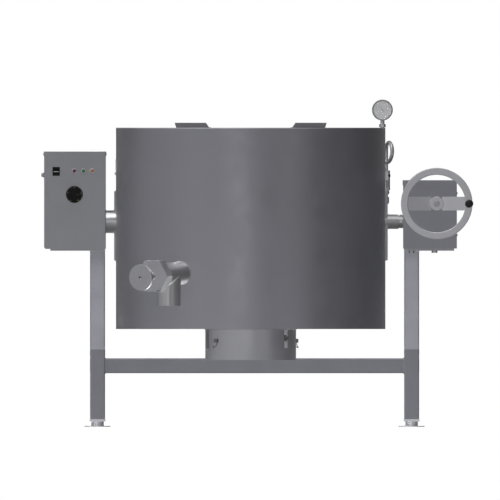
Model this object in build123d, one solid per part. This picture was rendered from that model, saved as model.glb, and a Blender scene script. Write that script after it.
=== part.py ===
from build123d import *
import math
import os

os.makedirs("parts", exist_ok=True)

# ---------------------------------------------------------------- dimensions
# Millimetres. Z is up, X to the right, the front faces -Y.
# The origin is on the floor, at the centre of the four feet.

# drum
AX = -13.2            # drum axis, X
R_DRUM = 450.0        # outside radius of the casing
Z_BOT = 326.5         # underside of the casing
Z_RIM = 999.0         # top of the rim
T_CASE = 2.5
TZ = 685.0            # height of the tilting axis

# burner housing and the hole above it
R_HOUSE = 151.7
R_BURN = 150.0

# cooking vessel and jacket
R_POT = 380.0
T_POT = 3.0
Z_POT_KNUCKLE = 600.0
Z_POT_BOTTOM = 480.0
Z_POT_SEAM = 620.0    # weld between the wall and the pressed base
R_JACKET = 410.0
T_JACKET = 4.0
Z_JACKET_KNUCKLE = 575.0
Z_JACKET_BOTTOM = 434.0
Z_JACKET_TOP = 820.0

# stand
LEG = 50.0            # square tube
T_TUBE = 3.0
LEG_X = 524.5
LEG_Y = 410.0
Z_KNEE = 259.0        # where the strut meets the upright, on the outer face
R_CORNER = 5.0        # outer corner radius of the tube
Z_LEG_LOW = 25.5
Z_STRUT_TOP = 588.0
STRUT_TOP_Y = 58.0
Z_BAR = 179.0         # underside of the crossbar and the side rails

# feet
FOOT_R = 43.4
FOOT_T = 3.0
FOOT_STEM_R = 21.0
FOOT_HOLE_R = 4.5
FOOT_HOLE_DX = 32.0

# control box
CB_X0, CB_X1 = -703.1, -497.0
CB_Y = 150.0
CB_Z0, CB_Z1 = 594.0, 918.2
CB_T = 2.0
LID_GAP, LID_T = 0.2, 1.1     # slack over the shell, thickness of the lid's sheet
LID_Z0 = 903.5

# gearbox
GB_X0, GB_X1 = 495.9, 675.5
GB_Y = 125.0
GB_Z0, GB_Z1 = 595.5, 824.0
GB_T = 4.0

# worm drive
GEAR_M = 3.0
WHEEL_Z = 30
WORM_D = 31.0
WORM_X = 608.2
GEAR_A = (GEAR_M * WHEEL_Z + WORM_D) / 2.0      # centre distance, 60.5
WORM_Z = TZ + GEAR_A
WHEEL_W = 22.0
WORM_LEN = 54.0
BACKLASH = 0.45       # taken off each tooth and each thread, per pair

# handwheel
HW_RO, HW_RI = 119.5, 96.0
HW_Y0, HW_Y1 = -205.0, -193.0
GRIP_PCR = 108.5

# trunnions
LT_RO, LT_RI = 38.0, 34.0
RT_R1, RT_R2, RT_R3 = 24.3, 21.5, 20.0
RUN = 0.05            # radial running clearance

# draw-off tap
TAP_AZ = 31.5         # degrees to the left of the front
TAP_DROP = 3.0        # degrees, downwards and outwards
TAP_Z = 512.0         # height of the tap axis at the drum's surface
TAP_RO, TAP_RI = 40.0, 37.0
TAP_OUT = 72.0        # spout axis, out from the drum's surface
TAP_HEX = 103.0
PAD_HALF = 22.0        # half width of the bars beside the trunnions
SPOUT_END = 404.0     # height of the spout's mouth
SOCKET_R = 37.5       # counterbore in the mouth
SOCKET_L = 40.0

# pressure gauge and its pipe
PIPE_AZ = 17.19       # degrees behind the +X side
GAUGE_X, GAUGE_Z = AX + 440.0, 1058.1
GAUGE_R = 35.0
V_X, V_Y = AX + 452.6, 140.0     # lower riser
LOOP_AZ = 23.3        # the coil's axis, degrees behind the +X side
LOOP_R = 32.9
LOOP_Z = 916.4
LOOP_PITCH = 13.6
TUBE_R = 6.5

nodes = {}


# ---------------------------------------------------------------- helpers
def box(x0, x1, y0, y1, z0, z1):
    return Pos((x0 + x1) / 2, (y0 + y1) / 2, (z0 + z1) / 2) * Box(x1 - x0, y1 - y0, z1 - z0)


def cyl(p, d, r, length):
    """A cylinder that starts at p and runs along d."""
    pl = Plane(origin=p, z_dir=d)
    return extrude(pl * Circle(r), length)


def ring(p, d, ro, ri, length):
    pl = Plane(origin=p, z_dir=d)
    return extrude(pl * (Circle(ro) - Circle(ri)), length)


def cylz(x, y, z0, z1, r):
    return cyl((x, y, z0), (0, 0, 1), r, z1 - z0)


def cylx(x0, x1, y, z, r):
    return cyl((x0, y, z), (1, 0, 0), r, x1 - x0)


def cyly(x, z, y0, y1, r):
    return cyl((x, y0, z), (0, 1, 0), r, y1 - y0)


def hexbar(p, d, across, length, turn=0.0):
    pl = Plane(origin=p, z_dir=d).rotated((0, 0, turn))
    return extrude(pl * RegularPolygon(across / 2.0, 6, major_radius=False), length)


def prism(pts, origin, xdir, zdir, length):
    """Extrude a polygon drawn in the plane at origin."""
    pl = Plane(origin=origin, x_dir=xdir, z_dir=zdir)
    return extrude(pl * make_face(Polyline(*pts, close=True)), length)


def lathe(lines, x=AX, y=0.0):
    """Revolve a closed profile, drawn as (radius, height), about a vertical axis."""
    f = make_face(lines)
    f = Plane.XZ * f
    return Pos(x, y, 0) * revolve(f, Axis.Z, 360)


def dish_curve(rad, zk, rk, zb):
    """Wall, knuckle and dished bottom of a vessel, from the knuckle to the axis."""
    a, h = rad - rk, zk - zb
    rd = (a * a + h * h - rk * rk) / (2 * (h - rk))
    cz = zb + rd
    ux, uz = a / (rd - rk), (zk - cz) / (rd - rk)
    tx, tz = rd * ux, cz + rd * uz
    ang = math.atan2(tz - zk, tx - a)
    km = (a + rk * math.cos(ang / 2), zk + rk * math.sin(ang / 2))
    half = math.asin(tx / rd) / 2
    dm = (rd * math.sin(half), cz - rd * math.cos(half))
    return [ThreePointArc((rad, zk), km, (tx, tz)), ThreePointArc((tx, tz), dm, (0, zb))]


def vessel_solid(rad, ztop, zk, rk, zb):
    """The full volume inside a dished vessel's surface."""
    c = [Line((0, ztop), (rad, ztop)), Line((rad, ztop), (rad, zk))] + dish_curve(rad, zk, rk, zb) + [Line((0, zb), (0, ztop))]
    return lathe(c)


def drum_cyl(r, z0, z1):
    return cylz(AX, 0, z0, z1, r)


def save(name, shape):
    nodes[name] = shape


def group(*shapes):
    out = []
    for s in shapes:
        out.extend(s.solids())
    return Compound(children=out)


# ---------------------------------------------------------------- stand
def bent_leg(sx, sy):
    """One square tube: an upright below, mitred to a strut that slopes up to the tilting axis."""
    ang = 0.7
    for _ in range(20):
        zk = Z_KNEE - LEG / 2 * math.tan(ang / 2)
        ang = math.atan2(LEG_Y - STRUT_TOP_Y, Z_STRUT_TOP - zk)
    mitre = Plane(origin=(sx * LEG_X, sy * LEG_Y, zk), x_dir=(1, 0, 0), z_dir=(0, sy * -math.sin(ang / 2), math.cos(ang / 2)))
    above = extrude(mitre * Rectangle(300, 3000), 1200)
    below = extrude(mitre * Rectangle(300, 3000), -1200)
    d = Vector(0, -sy * math.sin(ang), math.cos(ang))
    p0 = Vector(sx * LEG_X, sy * LEG_Y, zk) - d * 60

    def one(o):
        sec = RectangleRounded(LEG - 2 * o, LEG - 2 * o, R_CORNER - o)
        low = Plane(origin=(sx * LEG_X, sy * LEG_Y, Z_LEG_LOW), x_dir=(1, 0, 0), z_dir=(0, 0, 1))
        a = extrude(low * sec, zk - Z_LEG_LOW + 60) & below
        st = Plane(origin=(p0.X, p0.Y, p0.Z), x_dir=(1, 0, 0), z_dir=(d.X, d.Y, d.Z))
        b = extrude(st * sec, 620) & above
        return a + (b & box(sx * LEG_X - 50, sx * LEG_X + 50, -700, 700, 0, Z_STRUT_TOP))
    return one(0) - one(T_TUBE)


save("legs", group(*[bent_leg(sx, sy) for sx in (-1, 1) for sy in (-1, 1)]))


def tube_bar(p, d, length):
    """A straight square tube with rounded corners."""
    pl = Plane(origin=p, x_dir=(0, 0, 1), z_dir=d)
    return extrude(pl * (RectangleRounded(LEG, LEG, R_CORNER) - RectangleRounded(LEG - 2 * T_TUBE, LEG - 2 * T_TUBE, R_CORNER - T_TUBE)), length)


rail_y = LEG_Y - LEG / 2
save("side_rails", group(*[tube_bar((s * LEG_X, -rail_y, Z_BAR + LEG / 2), (0, 1, 0), 2 * rail_y) for s in (-1, 1)]))
bar_x = LEG_X - LEG / 2
save("rear_crossbar", tube_bar((-bar_x, LEG_Y, Z_BAR + LEG / 2), (1, 0, 0), 2 * bar_x))

collars, feet = [], []
for sx in (-1, 1):
    for sy in (-1, 1):
        x, y = sx * LEG_X, sy * LEG_Y
        c = box(x - 26.5, x + 26.5, y - 26.5, y + 26.5, 18.0, Z_LEG_LOW)
        c = c + extrude(Plane(origin=(x, y, Z_LEG_LOW), z_dir=(0, 0, 1)) * RectangleRounded(43.6, 43.6, 2.2), 22)
        collars.append(c - cylz(x, y, 10, 60, 10.0))
        f = cylz(x, y, 0, FOOT_T, FOOT_R) + cylz(x, y, FOOT_T, 18.0, FOOT_STEM_R) + cylz(x, y, 18.0, 62.0, 10.0)
        for k in (-1, 1):
            f = f - cylz(x + k * FOOT_HOLE_DX, y, -1, FOOT_T + 1, FOOT_HOLE_R)
        feet.append(f)
save("adjustable_feet", group(*feet, *collars))

# plates on top of the struts, under the two housings
LBP = (-682.4, -499.4, -125.0, 125.0, Z_STRUT_TOP, CB_Z0)
RBP = (498.9, 666.6, -120.0, 120.0, Z_STRUT_TOP, GB_Z0)
# the bolts stand clear of the struts; the left pair goes up into the bearing block
right_sites = [(524.0, -111.0), (600.8, -111.0), (524.0, 111.0), (600.8, 111.0)]
left_sites = [(-535.0, -12.5), (-535.0, 12.5)]
pl_l = box(*LBP)
pl_r = box(*RBP)
bolts = []
for bx, by in left_sites:
    pl_l = pl_l - cylz(bx, by, 580, 600, 5.2)
    bolts.append(hexbar((bx, by, Z_STRUT_TOP - 7.0), (0, 0, 1), 17.0, 7.0) + cylz(bx, by, Z_STRUT_TOP, CB_Z0 + 22, 5.0))
for bx, by in right_sites:
    pl_r = pl_r - cylz(bx, by, 580, 600, 5.2)
    bolts.append(hexbar((bx, by, Z_STRUT_TOP - 7.0), (0, 0, 1), 17.0, 7.0) + cylz(bx, by, Z_STRUT_TOP, GB_Z0 + 12, 5.0))
save("base_plates", group(pl_l, pl_r))
save("base_bolts", group(*bolts))

# ---------------------------------------------------------------- control box
ch = 5.0
prof = [(CB_X0, CB_Z0 + ch), (CB_X0 + ch, CB_Z0), (CB_X1, CB_Z0), (CB_X1, CB_Z1), (CB_X0, CB_Z1)]
prof_in = [(CB_X0 + CB_T, CB_Z0 + ch + 0.8), (CB_X0 + ch + 0.8, CB_Z0 + CB_T), (CB_X1 - CB_T, CB_Z0 + CB_T),
           (CB_X1 - CB_T, CB_Z1 + 5), (CB_X0 + CB_T, CB_Z1 + 5)]
shell = prism([(x, z) for x, z in prof], (0, CB_Y, 0), (1, 0, 0), (0, -1, 0), 2 * CB_Y)
cav = prism([(x, z) for x, z in prof_in], (0, CB_Y - CB_T, 0), (1, 0, 0), (0, -1, 0), 2 * (CB_Y - CB_T))
shell = fillet(shell.edges().filter_by(Axis.Z), 3.0)
cav = fillet(cav.edges().filter_by(Axis.Z), 1.0)
shell = shell - cav
BUSH_R = 41.0
shell = shell - cylx(CB_X1 - 10, CB_X1 + 10, 0, TZ, BUSH_R + 0.3)
for bx, by in left_sites:
    shell = shell - cylz(bx, by, CB_Z0 - 1, CB_Z0 + 5, 5.2)

# controls on the front: positions of their centres
ROCK = (-662.7, 853.0)
LAMPS = {"lamp_red": (-602.3, 854.4), "lamp_green": (-571.5, 854.4), "lamp_orange": (-542.1, 854.4)}
KNOB = (-601.9, 776.2)
FY = -CB_Y
shell = shell - box(ROCK[0] - 11.0, ROCK[0] + 11.0, FY - 1, FY + 5, ROCK[1] - 13.5, ROCK[1] + 13.5)
for lx, lz in LAMPS.values():
    shell = shell - cyly(lx, lz, FY - 1, FY + 5, 6.2)
shell = shell - cyly(KNOB[0], KNOB[1], FY - 1, FY + 5, 6.2)
GLAND_Z = 841.0
GLAND_Y = -60.0
shell = shell - cylx(CB_X0 - 1, CB_X0 + 5, GLAND_Y, GLAND_Z, 6.2)
INLET_X, INLET_Z = -640.0, 640.0
shell = shell - cyly(INLET_X, INLET_Z, CB_Y - 5, CB_Y + 1, 14.0)
# air louvres in the back wall
for k in range(6):
    zz = 780.0 + 12.0 * k
    shell = shell - box(-650.0, -550.0, CB_Y - 5, CB_Y + 5, zz, zz + 4.0)
save("control_box_shell", shell)

o = LID_GAP + LID_T
lid = box(CB_X0 - o, CB_X1 + o, -CB_Y - o, CB_Y + o, LID_Z0, CB_Z1 + o)
lid = fillet(lid.edges().filter_by(Axis.Z), 4.3)
lid = fillet(lid.edges().group_by(Axis.Z)[-1], 0.8)
g = LID_GAP
lid_in = box(CB_X0 - g, CB_X1 + g, -CB_Y - g, CB_Y + g, LID_Z0 - 1, CB_Z1 + g)
lid = lid - fillet(lid_in.edges().filter_by(Axis.Z), 3.2)
save("control_box_lid", lid)

# left trunnion bearing: a bush held in a block on the box's floor
blk = prism([(-62, CB_Z0 + CB_T), (62, CB_Z0 + CB_T), (62, CB_Z0 + CB_T + 14), (50, CB_Z0 + CB_T + 22), (50, TZ + 8), (34, TZ + 54), (-34, TZ + 54), (-50, TZ + 8),
             (-50, CB_Z0 + CB_T + 22), (-62, CB_Z0 + CB_T + 14)], (-556.0, 0, 0), (0, 1, 0), (1, 0, 0), 42.0)
for bx, by in left_sites:
    blk = blk - cylz(bx, by, CB_Z0, CB_Z0 + 24, 5.0)
bush = cylx(-566.0, -496.5, 0, TZ, BUSH_R)
bearing = (blk + bush) - cylx(-600, -480, 0, TZ, LT_RO + RUN)
save("left_trunnion_bearing", bearing)

# gas train: inlet stub, valve, pipe to the swivel on the tilting axis
GV = (-670.0, -610.0, -30.0, 50.0, 605.0, 675.0)
valve = box(*GV) + cylz(-640.0, -5.0, 675.0, 720.0, 19.0) + cylz(-640.0, 32.0, 675.0, 690.0, 12.0)
valve = valve + hexbar((INLET_X, 50.0, INLET_Z), (0, 1, 0), 30.0, 12.0)
valve = valve + box(-668.0, -612.0, -34.0, -30.0, 612.0, 668.0)
save("gas_valve", valve)
inlet = ring((INLET_X, 62.0, INLET_Z), (0, 1, 0), 10.48, 7.5, 116.0)
inlet = inlet + (hexbar((INLET_X, CB_Y, INLET_Z), (0, 1, 0), 27.0, 8.0) - cyly(INLET_X, INLET_Z, CB_Y - 2, CB_Y + 20, 10.0))
save("gas_inlet_pipe", inlet)
# swivel: fixed outer body on the tilting axis, beyond the trunnion's end
swx0, swx1 = -606.0, -585.0
swivel = ring((swx0, 0, TZ), (1, 0, 0), 24.0, 8.55, swx1 - swx0)
swivel = swivel + cyl((swx0 - 3.9, 0, TZ), (1, 0, 0), 20.0, 4.0)
swivel = swivel - cylx(swx0 + 0.1, swx1 + 1, 0, TZ, 8.55)
save("gas_swivel", swivel)

# ignition controller and terminal block on the rear part of the wall next to the drum
ctrl = box(-560.0, -515.0, 60.0, 140.0, 760.0, 870.0)
for k in range(5):
    ctrl = ctrl - box(-565.0, -556.0, 70.0 + 13 * k, 76.0 + 13 * k, 765.0, 785.0)
ctrl = ctrl + box(-515.0, CB_X1 - CB_T, 80.0, 120.0, 800.0, 830.0)
save("ignition_controller", ctrl)

# rocker switch: bezel and body, with a pocket for the rocker
bez = box(ROCK[0] - 12.2, ROCK[0] + 12.2, FY - 2.5, FY, ROCK[1] - 14.6, ROCK[1] + 14.6)
bez = bez + box(ROCK[0] - 10.7, ROCK[0] + 10.7, FY, FY + 26, ROCK[1] - 13.2, ROCK[1] + 13.2)
for k in (-1, 0, 1):
    bez = bez + box(ROCK[0] - 3, ROCK[0] + 3, FY + 26, FY + 34, ROCK[1] + 8 * k - 0.5, ROCK[1] + 8 * k + 0.5)
bez = bez - box(ROCK[0] - 9.4, ROCK[0] + 9.4, FY - 5, FY + 14, ROCK[1] - 12.0, ROCK[1] + 12.0)
PIN_Y = FY + 5.0
bez = bez + cylx(ROCK[0] - 9.5, ROCK[0] + 9.5, PIN_Y, ROCK[1], 1.5)
save("rocker_switch_body", bez)
# the rocker itself: two faces that meet in a shallow V, tipped to the off side
def rocker_prism(w):
    pts = [(-10.4, -9.5), (0.0, -7.0), (10.4, -9.5), (10.4, -1.0), (4.5, 3.5), (-4.5, 3.5), (-10.4, -1.0)]
    s = prism([(b, a) for a, b in pts], (-w / 2, 0, 0), (0, 1, 0), (1, 0, 0), w)
    return s
rk = rocker_prism(18.2) - cylx(-20, 20, 0, 0, 1.5 + RUN)
# the marks cut into both faces
rk = rk - box(-4.0, 4.0, -12.0, -7.6, 4.9, 5.7)
rk = rk - (cyly(0, -5.6, -12.0, -7.7, 2.4) - cyly(0, -5.6, -12.0, -7.7, 1.7))
ROCK_TILT = 7.0
rk = Pos(ROCK[0], PIN_Y, ROCK[1]) * Rot(ROCK_TILT, 0, 0) * rk
save("power_rocker", rk)

for nm, (lx, lz) in LAMPS.items():
    lamp = cyly(lx, lz, FY - 2.0, FY, 8.5) + cyly(lx, lz, FY, FY + 28, 6.0)
    lamp = lamp + cyly(lx, lz, FY - 6.0, FY - 2.0, 6.0)
    lamp = fillet(lamp.edges().filter_by(GeomType.CIRCLE).sort_by(Axis.Y)[0], 2.0)
    save(nm, lamp)

thermo = box(KNOB[0] - 20, KNOB[0] + 20, FY + CB_T, FY + CB_T + 26, KNOB[1] - 22, KNOB[1] + 22)
thermo = thermo + cyly(KNOB[0], KNOB[1], FY - 3.0, FY + CB_T, 6.0)
thermo = thermo - cyly(KNOB[0], KNOB[1], FY - 5.0, FY + 22.0, 3.0 + RUN)
save("thermostat_body", thermo)
# knob with its spindle
kn = cyly(KNOB[0], KNOB[1], FY - 10.0, FY - 4.0, 28.5)
kn = fillet(kn.edges().filter_by(GeomType.CIRCLE).sort_by(Axis.Y)[0], 2.0)
kn2 = cyly(KNOB[0], KNOB[1], FY - 26.0, FY - 10.0, 20.0)
kn2 = fillet(kn2.edges().filter_by(GeomType.CIRCLE).sort_by(Axis.Y)[0], 3.0)
kn = kn + kn2
for k in range(16):
    a = math.radians(k * 22.5 + 11.25)
    kn = kn - cyly(KNOB[0] + 21.2 * math.cos(a), KNOB[1] + 21.2 * math.sin(a), FY - 30.0, FY - 10.0, 3.2)
kn = kn - box(KNOB[0] + 19.0, KNOB[0] + 27.0, FY - 12.0, FY - 9.2, KNOB[1] - 1.0, KNOB[1] + 1.0)
kn = kn + cyly(KNOB[0], KNOB[1], FY - 4.0, FY + 20.0, 3.0)
save("thermostat_knob", kn)

gl = hexbar((CB_X0 - 4.5, GLAND_Y, GLAND_Z), (1, 0, 0), 14.0, 4.5) + cylx(CB_X0 - 9.4, CB_X0 - 4.5, GLAND_Y, GLAND_Z, 5.8)
gl = gl + cylx(CB_X0, CB_X0 + 8.0, GLAND_Y, GLAND_Z, 6.0) + hexbar((CB_X0 + CB_T, GLAND_Y, GLAND_Z), (1, 0, 0), 15.0, 3.5)
gl = gl - cylx(CB_X0 - 20, CB_X0 + 20, GLAND_Y, GLAND_Z, 3.25)
save("cable_gland", gl)

# ---------------------------------------------------------------- gearbox
t = GB_T
hs = box(GB_X0, GB_X1 - 3.5, -GB_Y, GB_Y, GB_Z0, GB_Z1 - 3.5) - box(GB_X0 + t, GB_X1 + 5, -GB_Y + t, GB_Y - t, GB_Z0 + t, GB_Z1 + 5)
hs = hs - cylx(GB_X0 - 5, GB_X0 + 10, 0, TZ, RT_R2 + 1.0)
for s in (-1, 1):
    hs = hs - cyly(WORM_X, WORM_Z, s * GB_Y - 10, s * GB_Y + 10, 16.2)
for bx, by in right_sites:
    hs = hs - cylz(bx, by, GB_Z0 - 1, GB_Z0 + 6, 5.2)
save("gearbox_housing", hs)
cv = box(GB_X0 - 1.7, GB_X1, -GB_Y - 3, GB_Y + 3, GB_Z0, GB_Z1)
cv = fillet(cv.edges().filter_by(Axis.X).group_by(Axis.Z)[-1] + cv.edges().filter_by(Axis.Z).group_by(Axis.X)[-1] + cv.edges().filter_by(Axis.Y).group_by(Axis.Z)[-1].sort_by(Axis.X)[-1:], 2.4)
cv = cv - box(GB_X0, GB_X1 - 3, -GB_Y, GB_Y, GB_Z0 - 5, GB_Z1 - 3)
cv = cv - box(GB_X0 - 10, GB_X1 - 12.0, -GB_Y - 10, GB_Y + 10, GB_Z0 - 10, GB_Z1 - 17.0)
save("gearbox_cover", cv)

def pedestal(x0, x1, r_in):
    zb = GB_Z0 + t
    b = prism([(-48, zb), (48, zb), (48, zb + 10), (34, zb + 16), (34, TZ), (24, TZ + 28), (-24, TZ + 28), (-34, TZ), (-34, zb + 16), (-48, zb + 10)],
              (x0, 0, 0), (0, 1, 0), (1, 0, 0), x1 - x0)
    return b - cylx(x0 - 1, x1 + 1, 0, TZ, r_in)
pedestals = [pedestal(506.0, 530.0, RT_R3 + RUN), pedestal(638.0, 662.0, RT_R3 + RUN)]

wb = []
for s in (-1, 1):
    b = cyly(WORM_X, WORM_Z, -131.0, -109.0, 16.0) + cyly(WORM_X, WORM_Z, -121.0, -114.0, 25.0)
    b = b - cyly(WORM_X, WORM_Z, -140, -90, 10.0 + RUN)
    if s > 0:
        b = mirror(b, Plane.XZ)
    wb.append(b)
save("gearbox_bearings", group(*pedestals, *wb))

# worm: single start, right hand
LEAD = math.pi * GEAR_M
r_tip = WORM_D / 2 + GEAR_M
r_root = WORM_D / 2 - 1.25 * GEAR_M
def flank(r):
    # half width of the thread at radius r
    return math.pi * GEAR_M / 4 - (r - WORM_D / 2) * math.tan(math.radians(20)) - BACKLASH / 2
core = cyl((0, 0, -WORM_LEN / 2 - 5), (0, 0, 1), r_root, WORM_LEN + 10)
TURNS = 4.5
hel = Helix(pitch=LEAD, height=TURNS * LEAD, radius=r_root - 0.6, center=(0, 0, -TURNS * LEAD / 2))
rr = r_root - 0.6
sec = Plane(origin=hel @ 0, x_dir=(1, 0, 0), z_dir=(0, 1, 0)) * make_face(Polyline((0, -flank(rr)), (r_tip - rr, -flank(r_tip)), (r_tip - rr, flank(r_tip)), (0, flank(rr)), close=True))
thread = sweep(sec, path=hel, is_frenet=True)
worm_local = core + thread
# the screw's axis turned on to Y, with a tooth gap of the worm in line with the wheel's axis
worm = Pos(WORM_X, 0, WORM_Z) * Rot(-90, 0, 0) * worm_local
sh = cyly(WORM_X, WORM_Z, -187.0, 128.0, 10.0)
worm = worm + sh
save("worm_shaft", worm)

# worm wheel: gaps inclined by the worm's lead angle
lead_ang = math.degrees(math.atan(LEAD / (math.pi * WORM_D)))
rp = GEAR_M * WHEEL_Z / 2
def gap_half(r):
    # half width of the gap between two teeth at radius r
    return math.pi * GEAR_M / 4 + (r - rp) * math.tan(math.radians(20)) + BACKLASH / 2
r_lo, r_hi = rp - 1.25 * GEAR_M, rp + GEAR_M + 1.0
gap = make_face(Polyline((-gap_half(r_lo), r_lo), (gap_half(r_lo), r_lo), (gap_half(r_hi) + 0.3, r_hi), (-gap_half(r_hi) - 0.3, r_hi), close=True))
cut = extrude(gap, WHEEL_W / 2 + 3, both=True)
cuts = []
for k in range(WHEEL_Z):
    # drawn with the wheel's axis along Z, a gap on +Y, then inclined and indexed
    c = Rot(0, -lead_ang, 0) * cut
    cuts.append(Rot(0, 0, 360.0 / WHEEL_Z * k) * c)
wl = Rot(0, 0, 0) * ring((0, 0, -WHEEL_W / 2), (0, 0, 1), rp + GEAR_M, RT_R3, WHEEL_W)
for c in cuts:
    wl = wl - c
# hub recesses on both faces
wl = wl - ring((0, 0, WHEEL_W / 2 - 4), (0, 0, 1), 37.0, 29.0, 10.0) - ring((0, 0, -WHEEL_W / 2 - 6), (0, 0, 1), 37.0, 29.0, 10.0)
# local Z on to X, local Y on to Z
place = Plane(origin=(WORM_X, 0, TZ), x_dir=(0, 1, 0), z_dir=(1, 0, 0))
wheel = place.location * wl
save("worm_wheel", wheel)

# ---------------------------------------------------------------- handwheel
rim = ring((WORM_X, HW_Y0, WORM_Z), (0, 1, 0), HW_RO, HW_RI, HW_Y1 - HW_Y0)
rim = fillet(rim.edges().filter_by(GeomType.CIRCLE), 3.0)
arm_t = 5.0
pts = [(18.0, -173.0), (99.0, -201.5), (99.0, -201.5 + arm_t), (18.0, -173.0 + arm_t)]
arms = None
for s in (-1, 1):
    a = prism([(s * x, y) for x, y in pts], (WORM_X, 0, WORM_Z - 23.0), (1, 0, 0), (0, 0, 1), 46.0)
    arms = a if arms is None else arms + a
hub = cyly(WORM_X, WORM_Z, -187.0, -145.0, 23.5)
hub = fillet(hub.edges().filter_by(GeomType.CIRCLE), 1.5)
hw = rim + arms + hub
hw = hw - cyly(WORM_X, WORM_Z, -215, -100, 10.0)
hw = hw - cyly(WORM_X + GRIP_PCR, WORM_Z - 0.3, -215, -175, 5.0)
save("handwheel", hw)
nut = cyly(WORM_X, WORM_Z, -193.0, -187.0, 9.8)
nut = fillet(nut.edges().filter_by(GeomType.CIRCLE).sort_by(Axis.Y)[0], 1.5) - hexbar((WORM_X, -195.0, WORM_Z), (0, 1, 0), 8.0, 5.0)
save("handwheel_screw", nut)
GX, GZ = WORM_X + GRIP_PCR, WORM_Z - 0.3
pin = cyly(GX, GZ, -277.0, -191.0, 5.0) + cyly(GX, GZ, -209.5, -205.0, 8.0)
save("grip_pin", pin)
gp = revolve(Plane.XY * make_face([Line((0, -285), (6, -285)), Spline((6, -285), (12.2, -281), (14.0, -271), (12.6, -247), (11.0, -227), (12.0, -215), (11.0, -210.0)),
                                   Line((11.0, -210.0), (0, -210.0)), Line((0, -210.0), (0, -285))]), Axis.Y, 360)
gp = Pos(GX, 0, GZ) * gp
gp = gp - cyly(GX, GZ, -277.5, -205.0, 5.0 + RUN)
save("crank_grip", gp)

# ---------------------------------------------------------------- kettle body
az = math.radians(TAP_AZ)
dr = math.radians(TAP_DROP)
ud = (-math.sin(az) * math.cos(dr), -math.cos(az) * math.cos(dr), -math.sin(dr))   # tap axis, outwards
def tap_pt(out):
    """Point on the tap's axis, at a distance along it from the drum's surface."""
    bx, by = AX - R_DRUM * math.sin(az), -R_DRUM * math.cos(az)
    return (bx + ud[0] * out, by + ud[1] * out, TAP_Z + ud[2] * out)

pz = math.radians(PIPE_AZ)
pn = (math.cos(pz), math.sin(pz), 0.0)
PORT_Z = 751.0

casing = ring((AX, 0, Z_BOT), (0, 0, 1), R_DRUM, R_DRUM - T_CASE, Z_RIM - 3.0 - Z_BOT)
casing = casing - cylx(AX - 470, AX - 430, 0, TZ, 26.0)
casing = casing - cyl(tap_pt(-60), ud, TAP_RO + 0.3, 120.0)
casing = casing - cyl((AX + 430 * pn[0], 430 * pn[1], PORT_Z), pn, 7.2, 40.0)
casing = casing - box(AX - 63, AX + 63, 425, 470, 469.0, 521.0)
save("outer_casing", casing)
# bottom plate, welded inside the lower edge of the casing
save("casing_bottom", ring((AX, 0, Z_BOT), (0, 0, 1), R_DRUM - T_CASE, R_BURN, 3.0))

deck = ring((AX, 0, Z_RIM - 3.0), (0, 0, 1), R_DRUM, R_POT + T_POT, 3.0)
save("rim_deck", deck)

pot_out = vessel_solid(R_POT + T_POT, Z_RIM, Z_POT_KNUCKLE, 73.0, Z_POT_BOTTOM - T_POT)
pot_in = vessel_solid(R_POT, Z_RIM + 5.0, Z_POT_KNUCKLE, 70.0, Z_POT_BOTTOM)
pot = pot_out - pot_in
pot = pot - cyl(tap_pt(-420), ud, TAP_RI, 420.0)
# rolled wall above, pressed base below, joined by a weld round the pot
save("inner_pot", pot - drum_cyl(R_POT + 50, 400.0, Z_POT_SEAM))
save("pot_base", pot - drum_cyl(R_POT + 50, Z_POT_SEAM, Z_RIM + 10.0))

jk_out = vessel_solid(R_JACKET + T_JACKET, Z_JACKET_TOP, Z_JACKET_KNUCKLE, 74.0, Z_JACKET_BOTTOM - T_JACKET)
jk_in = vessel_solid(R_JACKET, Z_JACKET_TOP - T_JACKET, Z_JACKET_KNUCKLE, 70.0, Z_JACKET_BOTTOM)
jacket = jk_out - jk_in - drum_cyl(R_POT + T_POT, Z_JACKET_TOP - 40, Z_JACKET_TOP + 5)
jacket = jacket - cyl(tap_pt(-200), ud, TAP_RO, 260.0)
jacket = jacket - cyl((AX + 395 * pn[0], 395 * pn[1], PORT_Z), pn, 4.5, 40.0)
save("steam_jacket", jacket)

ins = ring((AX, 0, 532.0), (0, 0, 1), 446.0, 416.0, 985.0 - 532.0)
ins = ins - box(AX - 450, AX - 405, -17, 17, 500.0, 720.0)
ins = ins - cyl(tap_pt(-80), ud, TAP_RO + 1.0, 120.0)
ins = ins - cyl((AX + 400 * pn[0], 400 * pn[1], PORT_Z), pn, 8.0, 60.0)
save("insulation", ins)

# combustion chamber: a conical heat shield below the jacket
chamber = lathe([Polyline((150.2, 330.0), (152.0, 330.0), (152.0, 366.0), (413.0, 440.0), (413.0, 528.0), (411.0, 528.0), (411.0, 441.4), (150.2, 367.5), close=True)])
chamber = chamber - box(AX - 63, AX + 63, 380, 440, 469.0, 521.0)
chamber = chamber - cyl(tap_pt(-120), ud, TAP_RO + 1.0, 160.0)
save("combustion_chamber", chamber)

# flue: a low hood on the back of the casing, open at the top
fl = box(AX - 62, AX + 62, 400, 488, 450.0, 760.0) - box(AX - 60, AX + 60, 395, 486, 452.0, 770.0)
fl = fl - drum_cyl(R_DRUM + 0.2, 400, 800)
fl = fl + (box(AX - 62, AX + 62, 413.6, 456.0, 470.5, 519.5) - box(AX - 60, AX + 60, 400, 470, 472.0, 518.0))
for s in (-1, 1):
    fl = fl + (box(AX + s * 68 - 8, AX + s * 68 + 8, 430, 470, 450.0, 760.0) & (drum_cyl(R_DRUM + 2.2, 440, 770) - drum_cyl(R_DRUM + 0.2, 440, 770)))
save("flue_duct", fl)

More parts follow.
